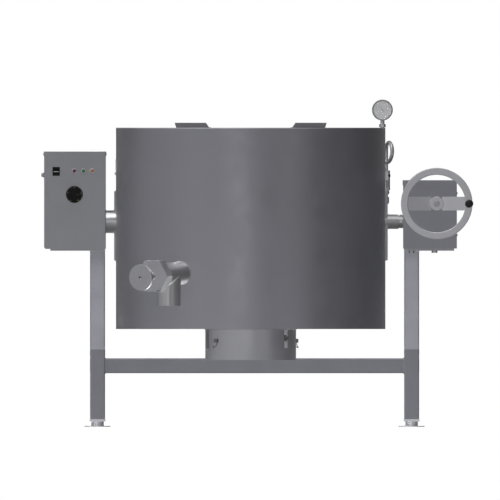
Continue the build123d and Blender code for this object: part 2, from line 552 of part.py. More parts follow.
# burner housing under the drum
bh = ring((AX, 0, 223.0), (0, 0, 1), R_HOUSE, R_HOUSE - 2.0, Z_BOT - 223.0)
bh = bh + ring((AX, 0, 223.0), (0, 0, 1), R_HOUSE, 138.0, 2.0)
def at_az(deg, r, z):
    """A point at an angle to the right of the front, about the drum's axis."""
    a = math.radians(deg)
    return (AX + r * math.sin(a), -r * math.cos(a), z)
def radial_box(deg, r0, r1, w, z0, z1):
    b = box(-w / 2, w / 2, -r1, -r0, z0, z1)
    return Pos(AX, 0, 0) * Rot(0, 0, deg) * b
for dg, w in ((51.0, 17.0), (-76.0, 50.0), (171.0, 17.0)):
    bh = bh - radial_box(dg, 140.0, 160.0, w, 263.0, Z_BOT + 1)
# holes for air around the lower part, at the back
for k in range(-3, 4):
    a = 180 + 15 * k
    if abs(a - 171) > 6:
        bh = bh - cyl(at_az(a, 140, 245.0), (math.sin(math.radians(a)), -math.cos(math.radians(a)), 0), 5.0, 20.0)
save("burner_housing", bh)

# ring burner on a cross bracket, with drilled ports on top
BZ = 290.0
def torus_z(z, rad, r):
    return Pos(AX, 0, z) * revolve(Plane.XZ * (Pos(rad, 0) * Circle(r)), Axis.Z, 360)
rb = torus_z(BZ, 95.0, 12.0)
for k in range(36):
    a = math.radians(10 * k)
    rb = rb - cylz(AX + 95 * math.cos(a), 95 * math.sin(a), BZ + 6, BZ + 14, 1.4)
arm = box(AX - 95, AX + 95, -8, 8, BZ - 8, BZ + 8)
hubb = cylz(AX, 0, BZ - 14, BZ + 10, 18.0)
rb = rb + arm + hubb
# angle brackets that hold the burner in the housing's slots, with their screws
br = []
for dg in (51.0, 171.0):
    rh = R_HOUSE - 2.4
    b = radial_box(dg, 108.5, rh, 14.0, BZ - 2, BZ + 2) + radial_box(dg, rh - 3.0, rh, 14.0, BZ - 2, BZ + 16)
    b = b + cyl(at_az(dg, rh, BZ + 7), (math.sin(math.radians(dg)), -math.cos(math.radians(dg)), 0), 3.0, 6.0)
    b = b + hexbar(at_az(dg, R_HOUSE + 1.0, BZ + 7), (math.sin(math.radians(dg)), -math.cos(math.radians(dg)), 0), 10.0, 5.0)
    br.append(b)
save("ring_burner", group(rb, *br))

# gas feed: from the swivel along the tilting axis, down inside the casing, then to the burner
def run(p0, p1, r):
    v = Vector(*p1) - Vector(*p0)
    return cyl(p0, (v.X, v.Y, v.Z), r, v.length)
GP = 7.5
gxa = AX - 432.0
feed = run((-605.0, 0, TZ), (gxa, 0, TZ), GP) + (Pos(gxa, 0, TZ) * Sphere(GP))
feed = feed + run((gxa, 0, TZ), (gxa, 0, 345.0), GP) + (Pos(gxa, 0, 345.0) * Sphere(GP))
gxb = AX - 130.0
feed = feed + run((gxa, 0, 345.0), (gxb, 0, 345.0), GP) + (Pos(gxb, 0, 345.0) * Sphere(GP))
feed = feed + run((gxb, 0, 345.0), (gxb, 0, BZ), GP) + (Pos(gxb, 0, BZ) * Sphere(GP))
feed = feed + run((gxb, 0, BZ), (AX - 100.0, 0, BZ), GP)
feed = feed + cylx(-605.0, -590.0, 0, TZ, 8.5)
# the clearance hole for the feed in the combustion chamber's collar
nodes["combustion_chamber"] = nodes["combustion_chamber"] - cylx(AX - 160.0, AX - 140.0, 0, 345.0, GP + 1.5)
# the pipe's end is coped to the burner ring
feed = feed - torus_z(BZ, 95.0, 12.0)
save("gas_feed_pipe", feed)

# spark and flame electrodes, each with a plug cap and a short lead into the housing
els = []
for eaz in (-48.0, 97.0):
    ez = 287.6
    ev = (math.sin(math.radians(eaz)), -math.cos(math.radians(eaz)), 0)
    nodes["burner_housing"] = nodes["burner_housing"] - cyl(at_az(eaz, 140, ez), ev, 5.2, 20.0)
    el = radial_box(eaz, R_HOUSE, R_HOUSE + 8.0, 16.0, ez - 6.5, ez + 6.5)
    el = el + cyl(at_az(eaz, 120.0, ez), ev, 5.0, 35.0) + cyl(at_az(eaz, 109.0, ez), ev, 1.5, 20.0)
    pts = [at_az(eaz + 1.5, R_HOUSE + 4.0, ez - 6.5), at_az(eaz + 1.5, R_HOUSE + 4.3, ez - 15.5), at_az(eaz - 3.4, R_HOUSE + 8.0, ez - 23.5), at_az(eaz - 6.6, R_HOUSE + 2.0, ez - 21.0), at_az(eaz - 7.4, R_HOUSE - 8.0, ez - 20.0)]
    nodes["burner_housing"] = nodes["burner_housing"] - cyl(at_az(eaz - 7.1, 140, ez - 20.6), (math.sin(math.radians(eaz - 7.1)), -math.cos(math.radians(eaz - 7.1)), 0), 4.0, 20.0)
    path = FilletPolyline(*pts, radius=[4.0, 4.0, 3.2])
    lead = sweep(Plane(origin=path @ 0, z_dir=path % 0) * Circle(1.5), path=path)
    els += [el, lead]
save("burner_electrodes", group(*els))

# trunnion pads: upright bars on the casing, above and below each trunnion
def pad(side, th, half_w, z0, z1):
    a = ring((AX, 0, z0), (0, 0, 1), R_DRUM + th, R_DRUM, z1 - z0)
    lim = box(AX + min(side * 380, side * 470), AX + max(side * 380, side * 470), -half_w, half_w, z0 - 1, z1 + 1)
    return a & lim
lp = pad(-1, 6.0, PAD_HALF, 556.0, 787.0) - cylx(AX - 470, AX - 430, 0, TZ, LT_RO)
rp_ = pad(1, 8.0, PAD_HALF, 556.0, 787.0) - cylx(AX + 430, AX + 470, 0, TZ, RT_R1)
save("trunnion_pads", group(lp, rp_))

# left trunnion: a tube that also carries the gas feed
lt = ring((-580.0, 0, TZ), (1, 0, 0), LT_RO, LT_RI, 130.0) - drum_cyl(R_DRUM, 600, 780)
save("left_trunnion", lt)
rt = cylx(430.0, 480.2, 0, TZ, RT_R1) + cylx(480.0, 503.0, 0, TZ, RT_R2) + cylx(503.0, 664.0, 0, TZ, RT_R3)
rt = rt - drum_cyl(R_DRUM, 600, 780)
save("right_trunnion", rt)

# pouring guides: two plates on the rim that lean outwards, either side of the front
def guide(side):
    xo, xi = 248.4, 137.5
    yo = -math.sqrt((R_DRUM - 2.0) ** 2 - xo ** 2)
    yi = -math.sqrt((R_DRUM - 2.0) ** 2 - xi ** 2)
    cd = Vector(xo - xi, yo - yi, 0).normalized()
    out = Vector(-cd.Y, cd.X, 0) * -1.0
    lean = 11.0
    up = (out * lean + Vector(0, 0, 16.0)).normalized()
    h = math.hypot(16.0, lean)
    nrm = cd.cross(up)
    L = math.hypot(xo - xi, yo - yi)
    f = Plane(origin=(AX + xi, yi, Z_RIM), x_dir=(cd.X, cd.Y, cd.Z), z_dir=(nrm.X, nrm.Y, nrm.Z))
    pts = [(0, -4.0), (L, -4.0), (L, 0), (L, h), (8.5, h), (3.0, 4.0)]
    g = extrude(f * make_face(Polyline(*pts, close=True)), 1.25, both=True)
    # foot flange that is spot-welded to the deck, behind the plate
    f2 = Plane(origin=(AX + xi, yi, Z_RIM), x_dir=(cd.X, cd.Y, 0), z_dir=(0, 0, 1))
    foot = extrude(f2 * make_face(Polyline((6.0, 2.0), (L - 6.0, 2.0), (L - 6.0, 22.0), (6.0, 22.0), close=True)), 1.5)
    foot2 = extrude(f2 * make_face(Polyline((6.0, -1.0), (L - 6.0, -1.0), (L - 6.0, 3.0), (6.0, 3.0), close=True)), 1.5)
    g = g + foot + foot2
    g = g - box(-600, 600, -600, 600, Z_RIM - 20, Z_RIM)
    if side < 0:
        g = mirror(g, Plane(origin=(AX, 0, 0), z_dir=(1, 0, 0)))
    return g
save("pouring_guides", group(guide(-1), guide(1)))

# ---------------------------------------------------------------- draw-off tap
OUT_END = 144.0
seat_in, seat_out = 20.0, 30.0
body = cyl(tap_pt(-420), ud, TAP_RO, 420.0 + OUT_END)
sp = tap_pt(TAP_OUT)
spout_o = cylz(sp[0], sp[1], SPOUT_END, sp[2], TAP_RO - 0.5)
spout_i = cylz(sp[0], sp[1], SPOUT_END - 4.0, sp[2], TAP_RI - 0.5) + cylz(sp[0], sp[1], SPOUT_END - 4.0, SPOUT_END + SOCKET_L, SOCKET_R)
tapbody = body - cyl(tap_pt(-425), ud, TAP_RI, 425.0 + OUT_END + 5) - spout_i
tapbody = tapbody + (cyl(tap_pt(seat_in), ud, TAP_RI + 0.5, seat_out - seat_in) - cyl(tap_pt(seat_in - 1), ud, 31.0, seat_out - seat_in + 2))
tapbody = tapbody - pot_out
save("draw_off_pipe", tapbody)
# the spout is saddled and welded on below the pipe
save("tap_spout", spout_o - body - spout_i)

hx = hexbar(tap_pt(OUT_END), ud, TAP_HEX, 36.0, turn=0.0)
# two of the hexagon's flats lie level
pl_hex = Plane(origin=tap_pt(OUT_END), x_dir=(-math.cos(az), math.sin(az), 0), z_dir=ud)
hx = extrude(pl_hex * RegularPolygon(TAP_HEX / 2.0, 6, major_radius=False, rotation=0), 36.0)
hx = hx - cyl(tap_pt(OUT_END - 5), ud, 30.0, 23.0)
hx = hx - cyl(tap_pt(OUT_END - 5), ud, 10.0 + RUN, 60.0)
hx = hx + (cyl(tap_pt(OUT_END - 14.0), ud, TAP_RI - 0.05, 14.0) - cyl(tap_pt(OUT_END - 20.0), ud, 30.0, 30.0))
save("tap_bonnet", hx)

# plug: a disc with a seal lip and a hub that runs on the spindle's thread
pg = cyl(tap_pt(30.3), ud, 34.5, 10.0) + cyl(tap_pt(39.0), ud, 17.0, 62.0)
pg = pg - cyl(tap_pt(36.0), ud, 10.0 + RUN, 70.0)
save("tap_plug", pg)
sd = cyl(tap_pt(78.0), ud, 10.0, 170.0)
sd = sd + cyl(tap_pt(OUT_END + 36.6), ud, 13.0, 66.0)
hd = cyl(tap_pt(246.4), ud, 44.0, 10.0)
hd = fillet(hd.edges().filter_by(GeomType.CIRCLE), 1.5)
sd = sd + hd + cyl(tap_pt(256.4), ud, 7.0, 3.0)
save("tap_handwheel", sd)

# ---------------------------------------------------------------- gauge pipework
rr0 = R_JACKET + T_JACKET + 0.2
stub = run((AX + rr0 * pn[0], rr0 * pn[1], PORT_Z), (V_X, V_Y, PORT_Z), 6.8)
pipe = stub + (Pos(V_X, V_Y, PORT_Z) * Sphere(9.8)) + cylz(V_X, V_Y, PORT_Z, 767.4, 9.8)
pipe = pipe + cylz(V_X, V_Y, 767.0, 777.0, 6.4)
pipe = pipe + hexbar((V_X, V_Y, 776.5), (0, 0, 1), 17.0, 14.0) + cylz(V_X, V_Y, 782.6, 785.2, 12.0)
pipe = pipe + cylz(V_X, V_Y, 790.0, 800.0, 6.0)
save("steam_port_elbow", pipe)

vb = box(V_X - 8.5, V_X + 6.4, V_Y - 10, V_Y + 10, 824.0, 853.0)
vb = vb + hexbar((V_X, V_Y, 800.0), (0, 0, 1), 15.4, 24.0, turn=90) + hexbar((V_X, V_Y, 853.0), (0, 0, 1), 15.4, 12.0, turn=90)
vb = vb & box(V_X - 12, V_X + 6.5, V_Y - 12, V_Y + 12, 790, 880)
vb = vb - cylx(V_X, V_X + 10, V_Y, 839.0, 3.0 + RUN)
save("shutoff_valve_body", vb)
lv = box(V_X + 6.9, V_X + 12.6, V_Y - 6.0, V_Y + 6.0, 791.0, 856.0) + box(V_X + 12.6, V_X + 13.6, V_Y - 6.0, V_Y + 6.0, 791.0, 795.0)
lv = lv + cylx(V_X + 0.5, V_X + 12.6, V_Y, 839.0, 3.0) + hexbar((V_X + 12.6, V_Y, 839.0), (1, 0, 0), 8.0, 1.6)
save("valve_lever", lv)

# siphon: riser, one coil of tube in a plane along the drum's side, upper riser
la = math.radians(LOOP_AZ)
ln = (math.cos(la), math.sin(la), 0.0)
tang = Vector(-ln[1], ln[0], 0)
pitch = LOOP_PITCH
hx1 = Helix(pitch=pitch, height=pitch, radius=LOOP_R, lefthand=True)
loop = sweep(Plane(origin=hx1 @ 0, z_dir=hx1 % 0) * Circle(TUBE_R), path=hx1, is_frenet=True)
lpl = Plane(origin=(V_X - tang.X * LOOP_R, V_Y - tang.Y * LOOP_R, LOOP_Z), x_dir=(tang.X, tang.Y, 0), z_dir=(-ln[0], -ln[1], 0))
loop = lpl.location * loop
e = (V_X - ln[0] * pitch, V_Y - ln[1] * pitch)
siph = cylz(V_X, V_Y, 865.0, LOOP_Z, TUBE_R) + (Pos(V_X, V_Y, LOOP_Z) * Sphere(TUBE_R + 0.2))
siph = siph + loop + (Pos(e[0], e[1], LOOP_Z) * Sphere(TUBE_R + 0.2)) + cylz(e[0], e[1], LOOP_Z, 1000.5, TUBE_R)
siph = siph + hexbar((e[0], e[1], 978.0), (0, 0, 1), 16.0, 18.0, turn=LOOP_AZ)
save("siphon_pipe", siph)
WX, WY = e

# gauge: case with stem, dial, needle, glass
gx, gy, gz = WX, WY, GAUGE_Z
stem = hexbar((gx, gy, 1000.5), (0, 0, 1), 19.0, 10.5, turn=0) + cylz(gx, gy, 1011.0, gz - GAUGE_R + 4, 7.0)
gx2 = GAUGE_X
yf, yb = gy - 14.0, gy + 12.0
case = cyly(gx2, gz, yf + 2, yb, 31.5) + cyly(gx2, gz, yf, yf + 7, GAUGE_R)
case = fillet(case.edges().filter_by(GeomType.CIRCLE).sort_by(Axis.Y)[-1], 3.0)
case = case - cyly(gx2, gz, yf - 1, yf + 10, 31.0 - 1.0)
case = case + stem
case = case - cyly(gx2, gz, yf - 1, yf + 10, 30.0)
save("gauge_case", case)
dial = cyly(gx2, gz, yf + 9.0, yf + 10.0, 30.0)
# scale marks stand a little proud of the dial
for k in range(28):
    a = math.radians(-135 + 10 * k)
    rm0 = 23.0 if k % 3 else 21.0
    m = box(-0.35, 0.35, yf + 8.8, yf + 9.2, rm0, 26.0)
    dial = dial + (Pos(gx2, 0, gz) * Rot(0, math.degrees(a), 0) * m)
dial = dial - cyly(gx2, gz, yf, yf + 20, 1.2)
save("gauge_dial", dial)
gpin = cyly(gx2, gz, yf + 5.5, yf + 11.0, 1.15)
NEEDLE = -39.0
nd = prism([(-1.4, -8.0), (1.4, -8.0), (1.2, 0.0), (0.3, 21.5), (-0.3, 21.5), (-1.2, 0.0)], (0, yf + 7.0, 0), (1, 0, 0), (0, -1, 0), 0.6)
nd = Pos(gx2, 0, gz) * Rot(0, NEEDLE, 0) * nd
nd = nd + cyly(gx2, gz, yf + 5.6, yf + 8.0, 3.0) + cyly(gx2, gz, yf + 6.0, yf + 10.9, 1.1)
save("gauge_needle", nd)
# clearance pocket behind the dial for the needle's spindle
nodes["gauge_case"] = nodes["gauge_case"] - cyly(gx2, gz, yf + 9, yf + 13, 1.5)
save("gauge_glass", cyly(gx2, gz, yf + 1.5, yf + 3.5, 30.0))

# ---------------------------------------------------------------- write
for name, shape in nodes.items():
    export_step(shape, "parts/" + name + ".step")
print(len(nodes), "parts written")
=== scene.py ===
import math

import bmesh
import bpy
from mathutils import Matrix, Vector


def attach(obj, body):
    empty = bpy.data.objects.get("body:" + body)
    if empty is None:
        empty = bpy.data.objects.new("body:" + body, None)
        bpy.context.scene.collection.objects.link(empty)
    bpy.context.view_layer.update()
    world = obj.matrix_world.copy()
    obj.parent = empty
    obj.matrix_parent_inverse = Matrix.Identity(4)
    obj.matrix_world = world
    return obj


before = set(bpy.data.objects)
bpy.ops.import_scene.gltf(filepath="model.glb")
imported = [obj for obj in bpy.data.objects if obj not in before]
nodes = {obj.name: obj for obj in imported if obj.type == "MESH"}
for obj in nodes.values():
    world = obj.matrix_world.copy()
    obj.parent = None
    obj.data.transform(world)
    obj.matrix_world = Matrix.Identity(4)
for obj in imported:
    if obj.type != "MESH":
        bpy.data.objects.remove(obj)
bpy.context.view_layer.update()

MM = 0.001

# ------------------------------------------------------------------ dimensions, millimetres
AX = -13.2
R_DRUM = 450.0
Z_BOT, Z_RIM, TZ = 326.5, 999.0, 685.0
LEG, LEG_X, LEG_Y = 50.0, 524.5, 410.0
Z_BAR = 179.0
Z_STRUT_TOP = 588.0
WORM_X, WORM_Z = 608.2, 745.5
TAP_AZ, TAP_DROP = math.radians(31.5), math.radians(3.0)
TAP_U = Vector((-math.sin(TAP_AZ) * math.cos(TAP_DROP), -math.cos(TAP_AZ) * math.cos(TAP_DROP), -math.sin(TAP_DROP)))
PIPE_AZ = math.radians(17.19)
PN = Vector((math.cos(PIPE_AZ), math.sin(PIPE_AZ), 0.0))
V_X, V_Y = AX + 452.6, 140.0
LOOP_AZ, LOOP_PITCH = math.radians(23.3), 13.6


def tap_pt(out):
    base = Vector((AX - R_DRUM * math.sin(TAP_AZ), -R_DRUM * math.cos(TAP_AZ), 512.0))
    return base + TAP_U * out


# ------------------------------------------------------------------ materials
def new_mat(name):
    m = bpy.data.materials.new(name)
    m.use_nodes = True
    nt = m.node_tree
    nt.nodes.clear()
    out = nt.nodes.new("ShaderNodeOutputMaterial")
    b = nt.nodes.new("ShaderNodeBsdfPrincipled")
    nt.links.new(b.outputs["BSDF"], out.inputs["Surface"])
    return m, nt, b


def noise(nt, coord, scale, detail=3.0, rough=0.5, stretch=(1, 1, 1), rot=(0, 0, 0)):
    mp = nt.nodes.new("ShaderNodeMapping")
    mp.inputs["Scale"].default_value = stretch
    mp.inputs["Rotation"].default_value = rot
    nt.links.new(coord, mp.inputs["Vector"])
    n = nt.nodes.new("ShaderNodeTexNoise")
    n.inputs["Scale"].default_value = scale
    n.inputs["Detail"].default_value = detail
    n.inputs["Roughness"].default_value = rough
    nt.links.new(mp.outputs["Vector"], n.inputs["Vector"])
    return n.outputs["Fac"]


def remap(nt, fac, lo, hi, a=0.3, b=0.7):
    r = nt.nodes.new("ShaderNodeMapRange")
    r.inputs["From Min"].default_value = a
    r.inputs["From Max"].default_value = b
    r.inputs["To Min"].default_value = lo
    r.inputs["To Max"].default_value = hi
    nt.links.new(fac, r.inputs["Value"])
    return r.outputs["Result"]


def math_node(nt, op, a, b):
    m = nt.nodes.new("ShaderNodeMath")
    m.operation = op
    for i, v in enumerate((a, b)):
        if isinstance(v, (int, float)):
            m.inputs[i].default_value = v
        else:
            nt.links.new(v, m.inputs[i])
    return m.outputs[0]


def tint(nt, fac, dark, light):
    mix = nt.nodes.new("ShaderNodeMix")
    mix.data_type = "RGBA"
    mix.inputs[6].default_value = (*dark, 1)
    mix.inputs[7].default_value = (*light, 1)
    nt.links.new(fac, mix.inputs[0])
    return mix.outputs[2]


def bump(nt, height, strength, distance, normal=None):
    b = nt.nodes.new("ShaderNodeBump")
    b.inputs["Strength"].default_value = strength
    b.inputs["Distance"].default_value = distance
    nt.links.new(height, b.inputs["Height"])
    if normal is not None:
        nt.links.new(normal, b.inputs["Normal"])
    return b.outputs["Normal"]


def metal(name, base, rough=0.5, metallic=0.6, grain="z", grain_strength=0.12, spread=0.05, rough_spread=0.07, pit=0.0):
    """Satin metal: fine grain drawn out along one direction, soft handling marks, slight change of tone."""
    m, nt, b = new_mat(name)
    co = nt.nodes.new("ShaderNodeTexCoord").outputs["Object"]
    stretch = {"x": (3.0, 420.0, 420.0), "y": (420.0, 3.0, 420.0), "z": (420.0, 420.0, 3.0), "round": (5.0, 5.0, 520.0), "none": (140.0, 140.0, 140.0)}[grain]
    fine = noise(nt, co, 1.0, 4.0, 0.6, stretch)
    wide = noise(nt, co, 3.2, 3.0, 0.55)
    marks = noise(nt, co, 17.0, 5.0, 0.62)
    shade = math_node(nt, "ADD", math_node(nt, "MULTIPLY", remap(nt, fine, 0.0, 1.0), 0.45),
                      math_node(nt, "ADD", math_node(nt, "MULTIPLY", remap(nt, wide, 0.0, 1.0), 0.35), math_node(nt, "MULTIPLY", remap(nt, marks, 0.0, 1.0), 0.20)))
    nt.links.new(tint(nt, shade, tuple(c * (1 - spread) for c in base), tuple(min(1.0, c * (1 + spread)) for c in base)), b.inputs["Base Color"])
    r = math_node(nt, "ADD", remap(nt, marks, rough - rough_spread, rough + rough_spread), remap(nt, fine, -0.02, 0.02))
    nt.links.new(r, b.inputs["Roughness"])
    b.inputs["Metallic"].default_value = metallic
    n = bump(nt, fine, grain_strength, 0.0002)
    if pit:
        n = bump(nt, noise(nt, co, 420.0, 4.0, 0.7), pit, 0.0006, n)
    nt.links.new(n, b.inputs["Normal"])
    return m


def plastic(name, base, rough=0.42, spread=0.12, grain=900.0, strength=0.12, specular=0.5):
    m, nt, b = new_mat(name)
    co = nt.nodes.new("ShaderNodeTexCoord").outputs["Object"]
    f = noise(nt, co, grain, 2.0, 0.5)
    w = noise(nt, co, 35.0, 4.0, 0.6)
    nt.links.new(tint(nt, remap(nt, w, 0, 1), tuple(c * (1 - spread) for c in base), tuple(min(1.0, c * (1 + spread)) for c in base)), b.inputs["Base Color"])
    nt.links.new(remap(nt, w, rough - 0.06, rough + 0.06), b.inputs["Roughness"])
    b.inputs["Specular IOR Level"].default_value = specular
    nt.links.new(bump(nt, f, strength, 0.0003), b.inputs["Normal"])
    return m


def lamp_mat(name, base, glow):
    m, nt, b = new_mat(name)
    co = nt.nodes.new("ShaderNodeTexCoord").outputs["Object"]
    f = noise(nt, co, 260.0, 2.0, 0.5)
    nt.links.new(tint(nt, remap(nt, f, 0, 1), tuple(c * 0.7 for c in base), base), b.inputs["Base Color"])
    b.inputs["Roughness"].default_value = 0.42
    b.inputs["Specular IOR Level"].default_value = 0.25
    b.inputs["Emission Color"].default_value = (*glow, 1)
    b.inputs["Emission Strength"].default_value = 0.01
    return m


M = {}
M["casing"] = metal("casing_steel", (0.1515, 0.1521, 0.1699), 0.44, 0.55, "round", 0.10)
# pad steel: a copy of the casing steel, its tone set apart to offset light and shade on the pads; painted light, not a
# different finish
M["pad"] = metal("pad_steel_shade_offset", (0.155, 0.156, 0.172), 0.46, 0.5, "z", 0.10)
M["box"] = metal("box_steel", (0.1744, 0.1764, 0.1917), 0.50, 0.55, "z", 0.10)
M["gearbox"] = metal("gearbox_steel", (0.1418, 0.1429, 0.1618), 0.50, 0.55, "z", 0.10)
M["stand"] = metal("stand_steel", (0.1363, 0.1378, 0.156), 0.50, 0.55, "z", 0.12)
# the crossbar's steel: the legs' steel made a little lighter to offset the drum's shade on the crossbar, painted light;
# its grain runs along x
M["stand_x_shade_lifted"] = metal("stand_steel_x_shade_lifted", (0.1387, 0.1403, 0.1591), 0.50, 0.55, "x", 0.12)
M["stand_y"] = metal("stand_steel_y", (0.1363, 0.1378, 0.156), 0.50, 0.55, "y", 0.12)
M["foot"] = metal("foot_steel", (0.34, 0.34, 0.36), 0.40, 0.7, "none", 0.08)
M["plate"] = metal("plate_steel", (0.1674, 0.1687, 0.1841), 0.5, 0.55, "x", 0.10)
M["housing"] = metal("burner_housing_steel", (0.2111, 0.2119, 0.2272), 0.48, 0.6, "round", 0.10)
M["guide"] = metal("guide_steel", (0.1729, 0.1739, 0.19), 0.5, 0.55, "x", 0.10)
M["deck"] = metal("deck_steel", (0.34, 0.342, 0.35), 0.42, 0.7, "none", 0.10)
M["pot"] = metal("pot_steel", (0.40, 0.402, 0.412), 0.46, 0.70, "round", 0.08, 0.04, 0.03)
M["inner"] = metal("inner_steel", (0.30, 0.30, 0.31), 0.45, 0.7, "round", 0.10)
M["rim"] = metal("rim_steel", (0.62, 0.62, 0.64), 0.24, 0.95, "none", 0.02, 0.03, 0.03)
M["polished"] = metal("polished_steel", (0.300, 0.300, 0.313), 0.37, 0.95, "none", 0.02, 0.03, 0.04)
M["siphon"] = metal("siphon_steel", (0.25, 0.25, 0.2673), 0.38, 0.65, "none", 0.02, 0.03, 0.04)
M["pipe"] = metal("pipe_steel", (0.1848, 0.1848, 0.1918), 0.42, 0.65, "none", 0.03, 0.04, 0.05)
M["tapdisc"] = metal("tap_wheel_steel", (0.194, 0.194, 0.2098), 0.40, 0.6, "none", 0.05)
M["bonnet"] = metal("bonnet_steel", (0.1883, 0.1883, 0.2033), 0.33, 0.6, "none", 0.05)
M["tap_pipe"] = metal("tap_pipe_steel", (0.2093, 0.2093, 0.2213), 0.36, 0.50, "none", 0.03, 0.04, 0.05)
M["wheel"] = metal("wheel_aluminium", (0.293, 0.293, 0.312), 0.48, 0.6, "none", 0.08, 0.05, 0.07, 0.06)
M["gear"] = metal("gear_steel", (0.20, 0.20, 0.21), 0.38, 0.85, "none", 0.06)
M["bolt"] = metal("bolt_steel", (0.30, 0.30, 0.31), 0.38, 0.85, "none", 0.05)
M["bronze"] = metal("gear_bronze", (0.50, 0.31, 0.13), 0.38, 0.9, "none", 0.06)
M["brass"] = metal("brass", (0.66, 0.48, 0.20), 0.32, 0.95, "none", 0.05)
M["iron"] = metal("cast_iron", (0.085, 0.082, 0.08), 0.68, 0.5, "none", 0.05, 0.18, 0.10, 0.5)
M["cast"] = metal("cast_aluminium", (0.36, 0.36, 0.37), 0.52, 0.75, "none", 0.05, 0.06, 0.08, 0.25)
M["black"] = plastic("black_plastic", (0.0045, 0.0045, 0.005), 0.55, specular=0.07)
M["grip"] = plastic("grip_plastic", (0.004, 0.004, 0.004), 0.42, specular=0.18)
M["lead"] = plastic("lead_insulation", (0.075, 0.075, 0.078), 0.55, specular=0.25)
M["mark_dim"] = plastic("mark_paint_dim", (0.30, 0.30, 0.22), 0.6, 0.1, 700.0, 0.05, 0.2)
M["mark_dark"] = plastic("mark_paint_dark", (0.030, 0.031, 0.028), 0.6, 0.1, 700.0, 0.05, 0.2)
M["ink_dim"] = plastic("ink_pale", (0.120, 0.120, 0.126), 0.5, 0.1, 900.0, 0.03)
M["grey"] = plastic("grey_plastic", (0.16, 0.16, 0.17), 0.5)
M["ceramic"] = plastic("glazed_ceramic", (0.62, 0.60, 0.55), 0.2, 0.05, 300.0, 0.03, 0.6)
# pale grey paint for the bar across the rocker: a painted highlight on its ridge
M["rocker_highlight"] = plastic("rocker_highlight_paint", (0.29, 0.29, 0.295), 0.5, 0.05, 700.0, 0.05)
M["mark"] = plastic("mark_paint", (0.50, 0.50, 0.51), 0.5, 0.05, 700.0, 0.05)
M["ink"] = plastic("ink", (0.02, 0.02, 0.022), 0.5, 0.1, 900.0, 0.03)
M["dial"] = plastic("dial_enamel", (0.165, 0.165, 0.173), 0.4, 0.04, 500.0, 0.03)
M["wool"] = plastic("mineral_wool", (0.42, 0.37, 0.24), 0.95, 0.25, 240.0, 0.9, 0.1)
M["weld"] = metal("weld_steel", (0.25, 0.25, 0.262), 0.46, 0.7, "none", 0.08, 0.12, 0.08, 0.1)
M["weld_dark"] = metal("weld_steel_dark", (0.200, 0.201, 0.212), 0.48, 0.55, "none", 0.08, 0.12, 0.08, 0.1)
M["bezel"] = metal("bezel_chrome", (0.27, 0.27, 0.278), 0.46, 0.55, "none", 0.02, 0.03, 0.04)
M["bezel_gauge"] = metal("gauge_bezel_steel", (0.17, 0.17, 0.178), 0.42, 0.6, "none", 0.02, 0.03, 0.04)
M["plate_bright"] = metal("plate_bright_steel", (0.36, 0.36, 0.37), 0.4, 0.75, "y", 0.08)
M["red"] = lamp_mat("lamp_red", (0.075, 0.006, 0.014), (0.6, 0.01, 0.03))
M["green"] = lamp_mat("lamp_green", (0.008, 0.085, 0.032), (0.02, 0.5, 0.08))
M["orange"] = lamp_mat("lamp_orange", (0.26, 0.105, 0.045), (0.8, 0.2, 0.02))


def glass_mat():
    m, nt, b = new_mat("gauge_glass")
    co = nt.nodes.new("ShaderNodeTexCoord").outputs["Object"]
    nt.links.new(remap(nt, noise(nt, co, 60.0, 3.0), 0.02, 0.07), b.inputs["Roughness"])
    nt.links.new(tint(nt, noise(nt, co, 40.0, 2.0), (0.93, 0.95, 0.96), (1, 1, 1)), b.inputs["Base Color"])
    b.inputs["Alpha"].default_value = 0.13
    b.inputs["Specular IOR Level"].default_value = 0.6
    return m


M["glass"] = glass_mat()

FINISH = {
    "legs": "stand", "pot_base": "pot", "casing_bottom": "casing", "tap_spout": "tap_pipe",
    "side_rails": "stand_y", "rear_crossbar": "stand_x_shade_lifted", "adjustable_feet": "foot", "base_plates": "plate", "base_bolts": "gear",
    "control_box_shell": "box", "control_box_lid": "box", "left_trunnion_bearing": "iron", "gas_valve": "cast", "gas_inlet_pipe": "brass",
    "gas_swivel": "brass", "ignition_controller": "grey", "rocker_switch_body": "black", "power_rocker": "black",
    "lamp_red": "red", "lamp_green": "green", "lamp_orange": "orange", "thermostat_body": "grey", "thermostat_knob": "black",
    "cable_gland": "grey", "gearbox_housing": "gearbox", "gearbox_cover": "gearbox", "gearbox_bearings": "iron", "worm_shaft": "gear",
    "worm_wheel": "bronze", "handwheel": "wheel", "handwheel_screw": "gear", "grip_pin": "bolt", "crank_grip": "grip",
    "outer_casing": "casing", "rim_deck": "deck", "inner_pot": "pot", "steam_jacket": "inner", "insulation": "wool",
    "combustion_chamber": "inner", "flue_duct": "casing", "burner_housing": "housing", "ring_burner": "iron", "gas_feed_pipe": "gear",
    "burner_electrodes": "lead", "trunnion_pads": "pad", "left_trunnion": "polished", "right_trunnion": "pipe", "pouring_guides": "guide",
    "draw_off_pipe": "tap_pipe", "tap_bonnet": "bonnet", "tap_plug": "brass", "tap_handwheel": "tapdisc", "steam_port_elbow": "siphon",
    "shutoff_valve_body": "siphon", "valve_lever": "black", "siphon_pipe": "siphon", "gauge_case": "siphon", "gauge_dial": "dial",
    "gauge_needle": "ink", "gauge_glass": "glass",
}
for name, obj in nodes.items():
    mat = M[FINISH[name]]
    if obj.material_slots:
        for s in obj.material_slots:
            s.material = mat
    else:
        obj.data.materials.append(mat)

# ------------------------------------------------------------------ helpers that build pieces
def finish_piece(name, bm, mat, body, angle=38.0):
    bmesh.ops.remove_doubles(bm, verts=bm.verts, dist=1e-6)
    bmesh.ops.recalc_face_normals(bm, faces=bm.faces)
    me = bpy.data.meshes.new(name)
    bm.to_mesh(me)
    bm.free()
    me.materials.append(M[mat])
    for p in me.polygons:
        p.use_smooth = True
    me.set_sharp_from_angle(angle=math.radians(angle))
    o = bpy.data.objects.new(name, me)
    bpy.context.scene.collection.objects.link(o)
    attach(o, body)
    return o


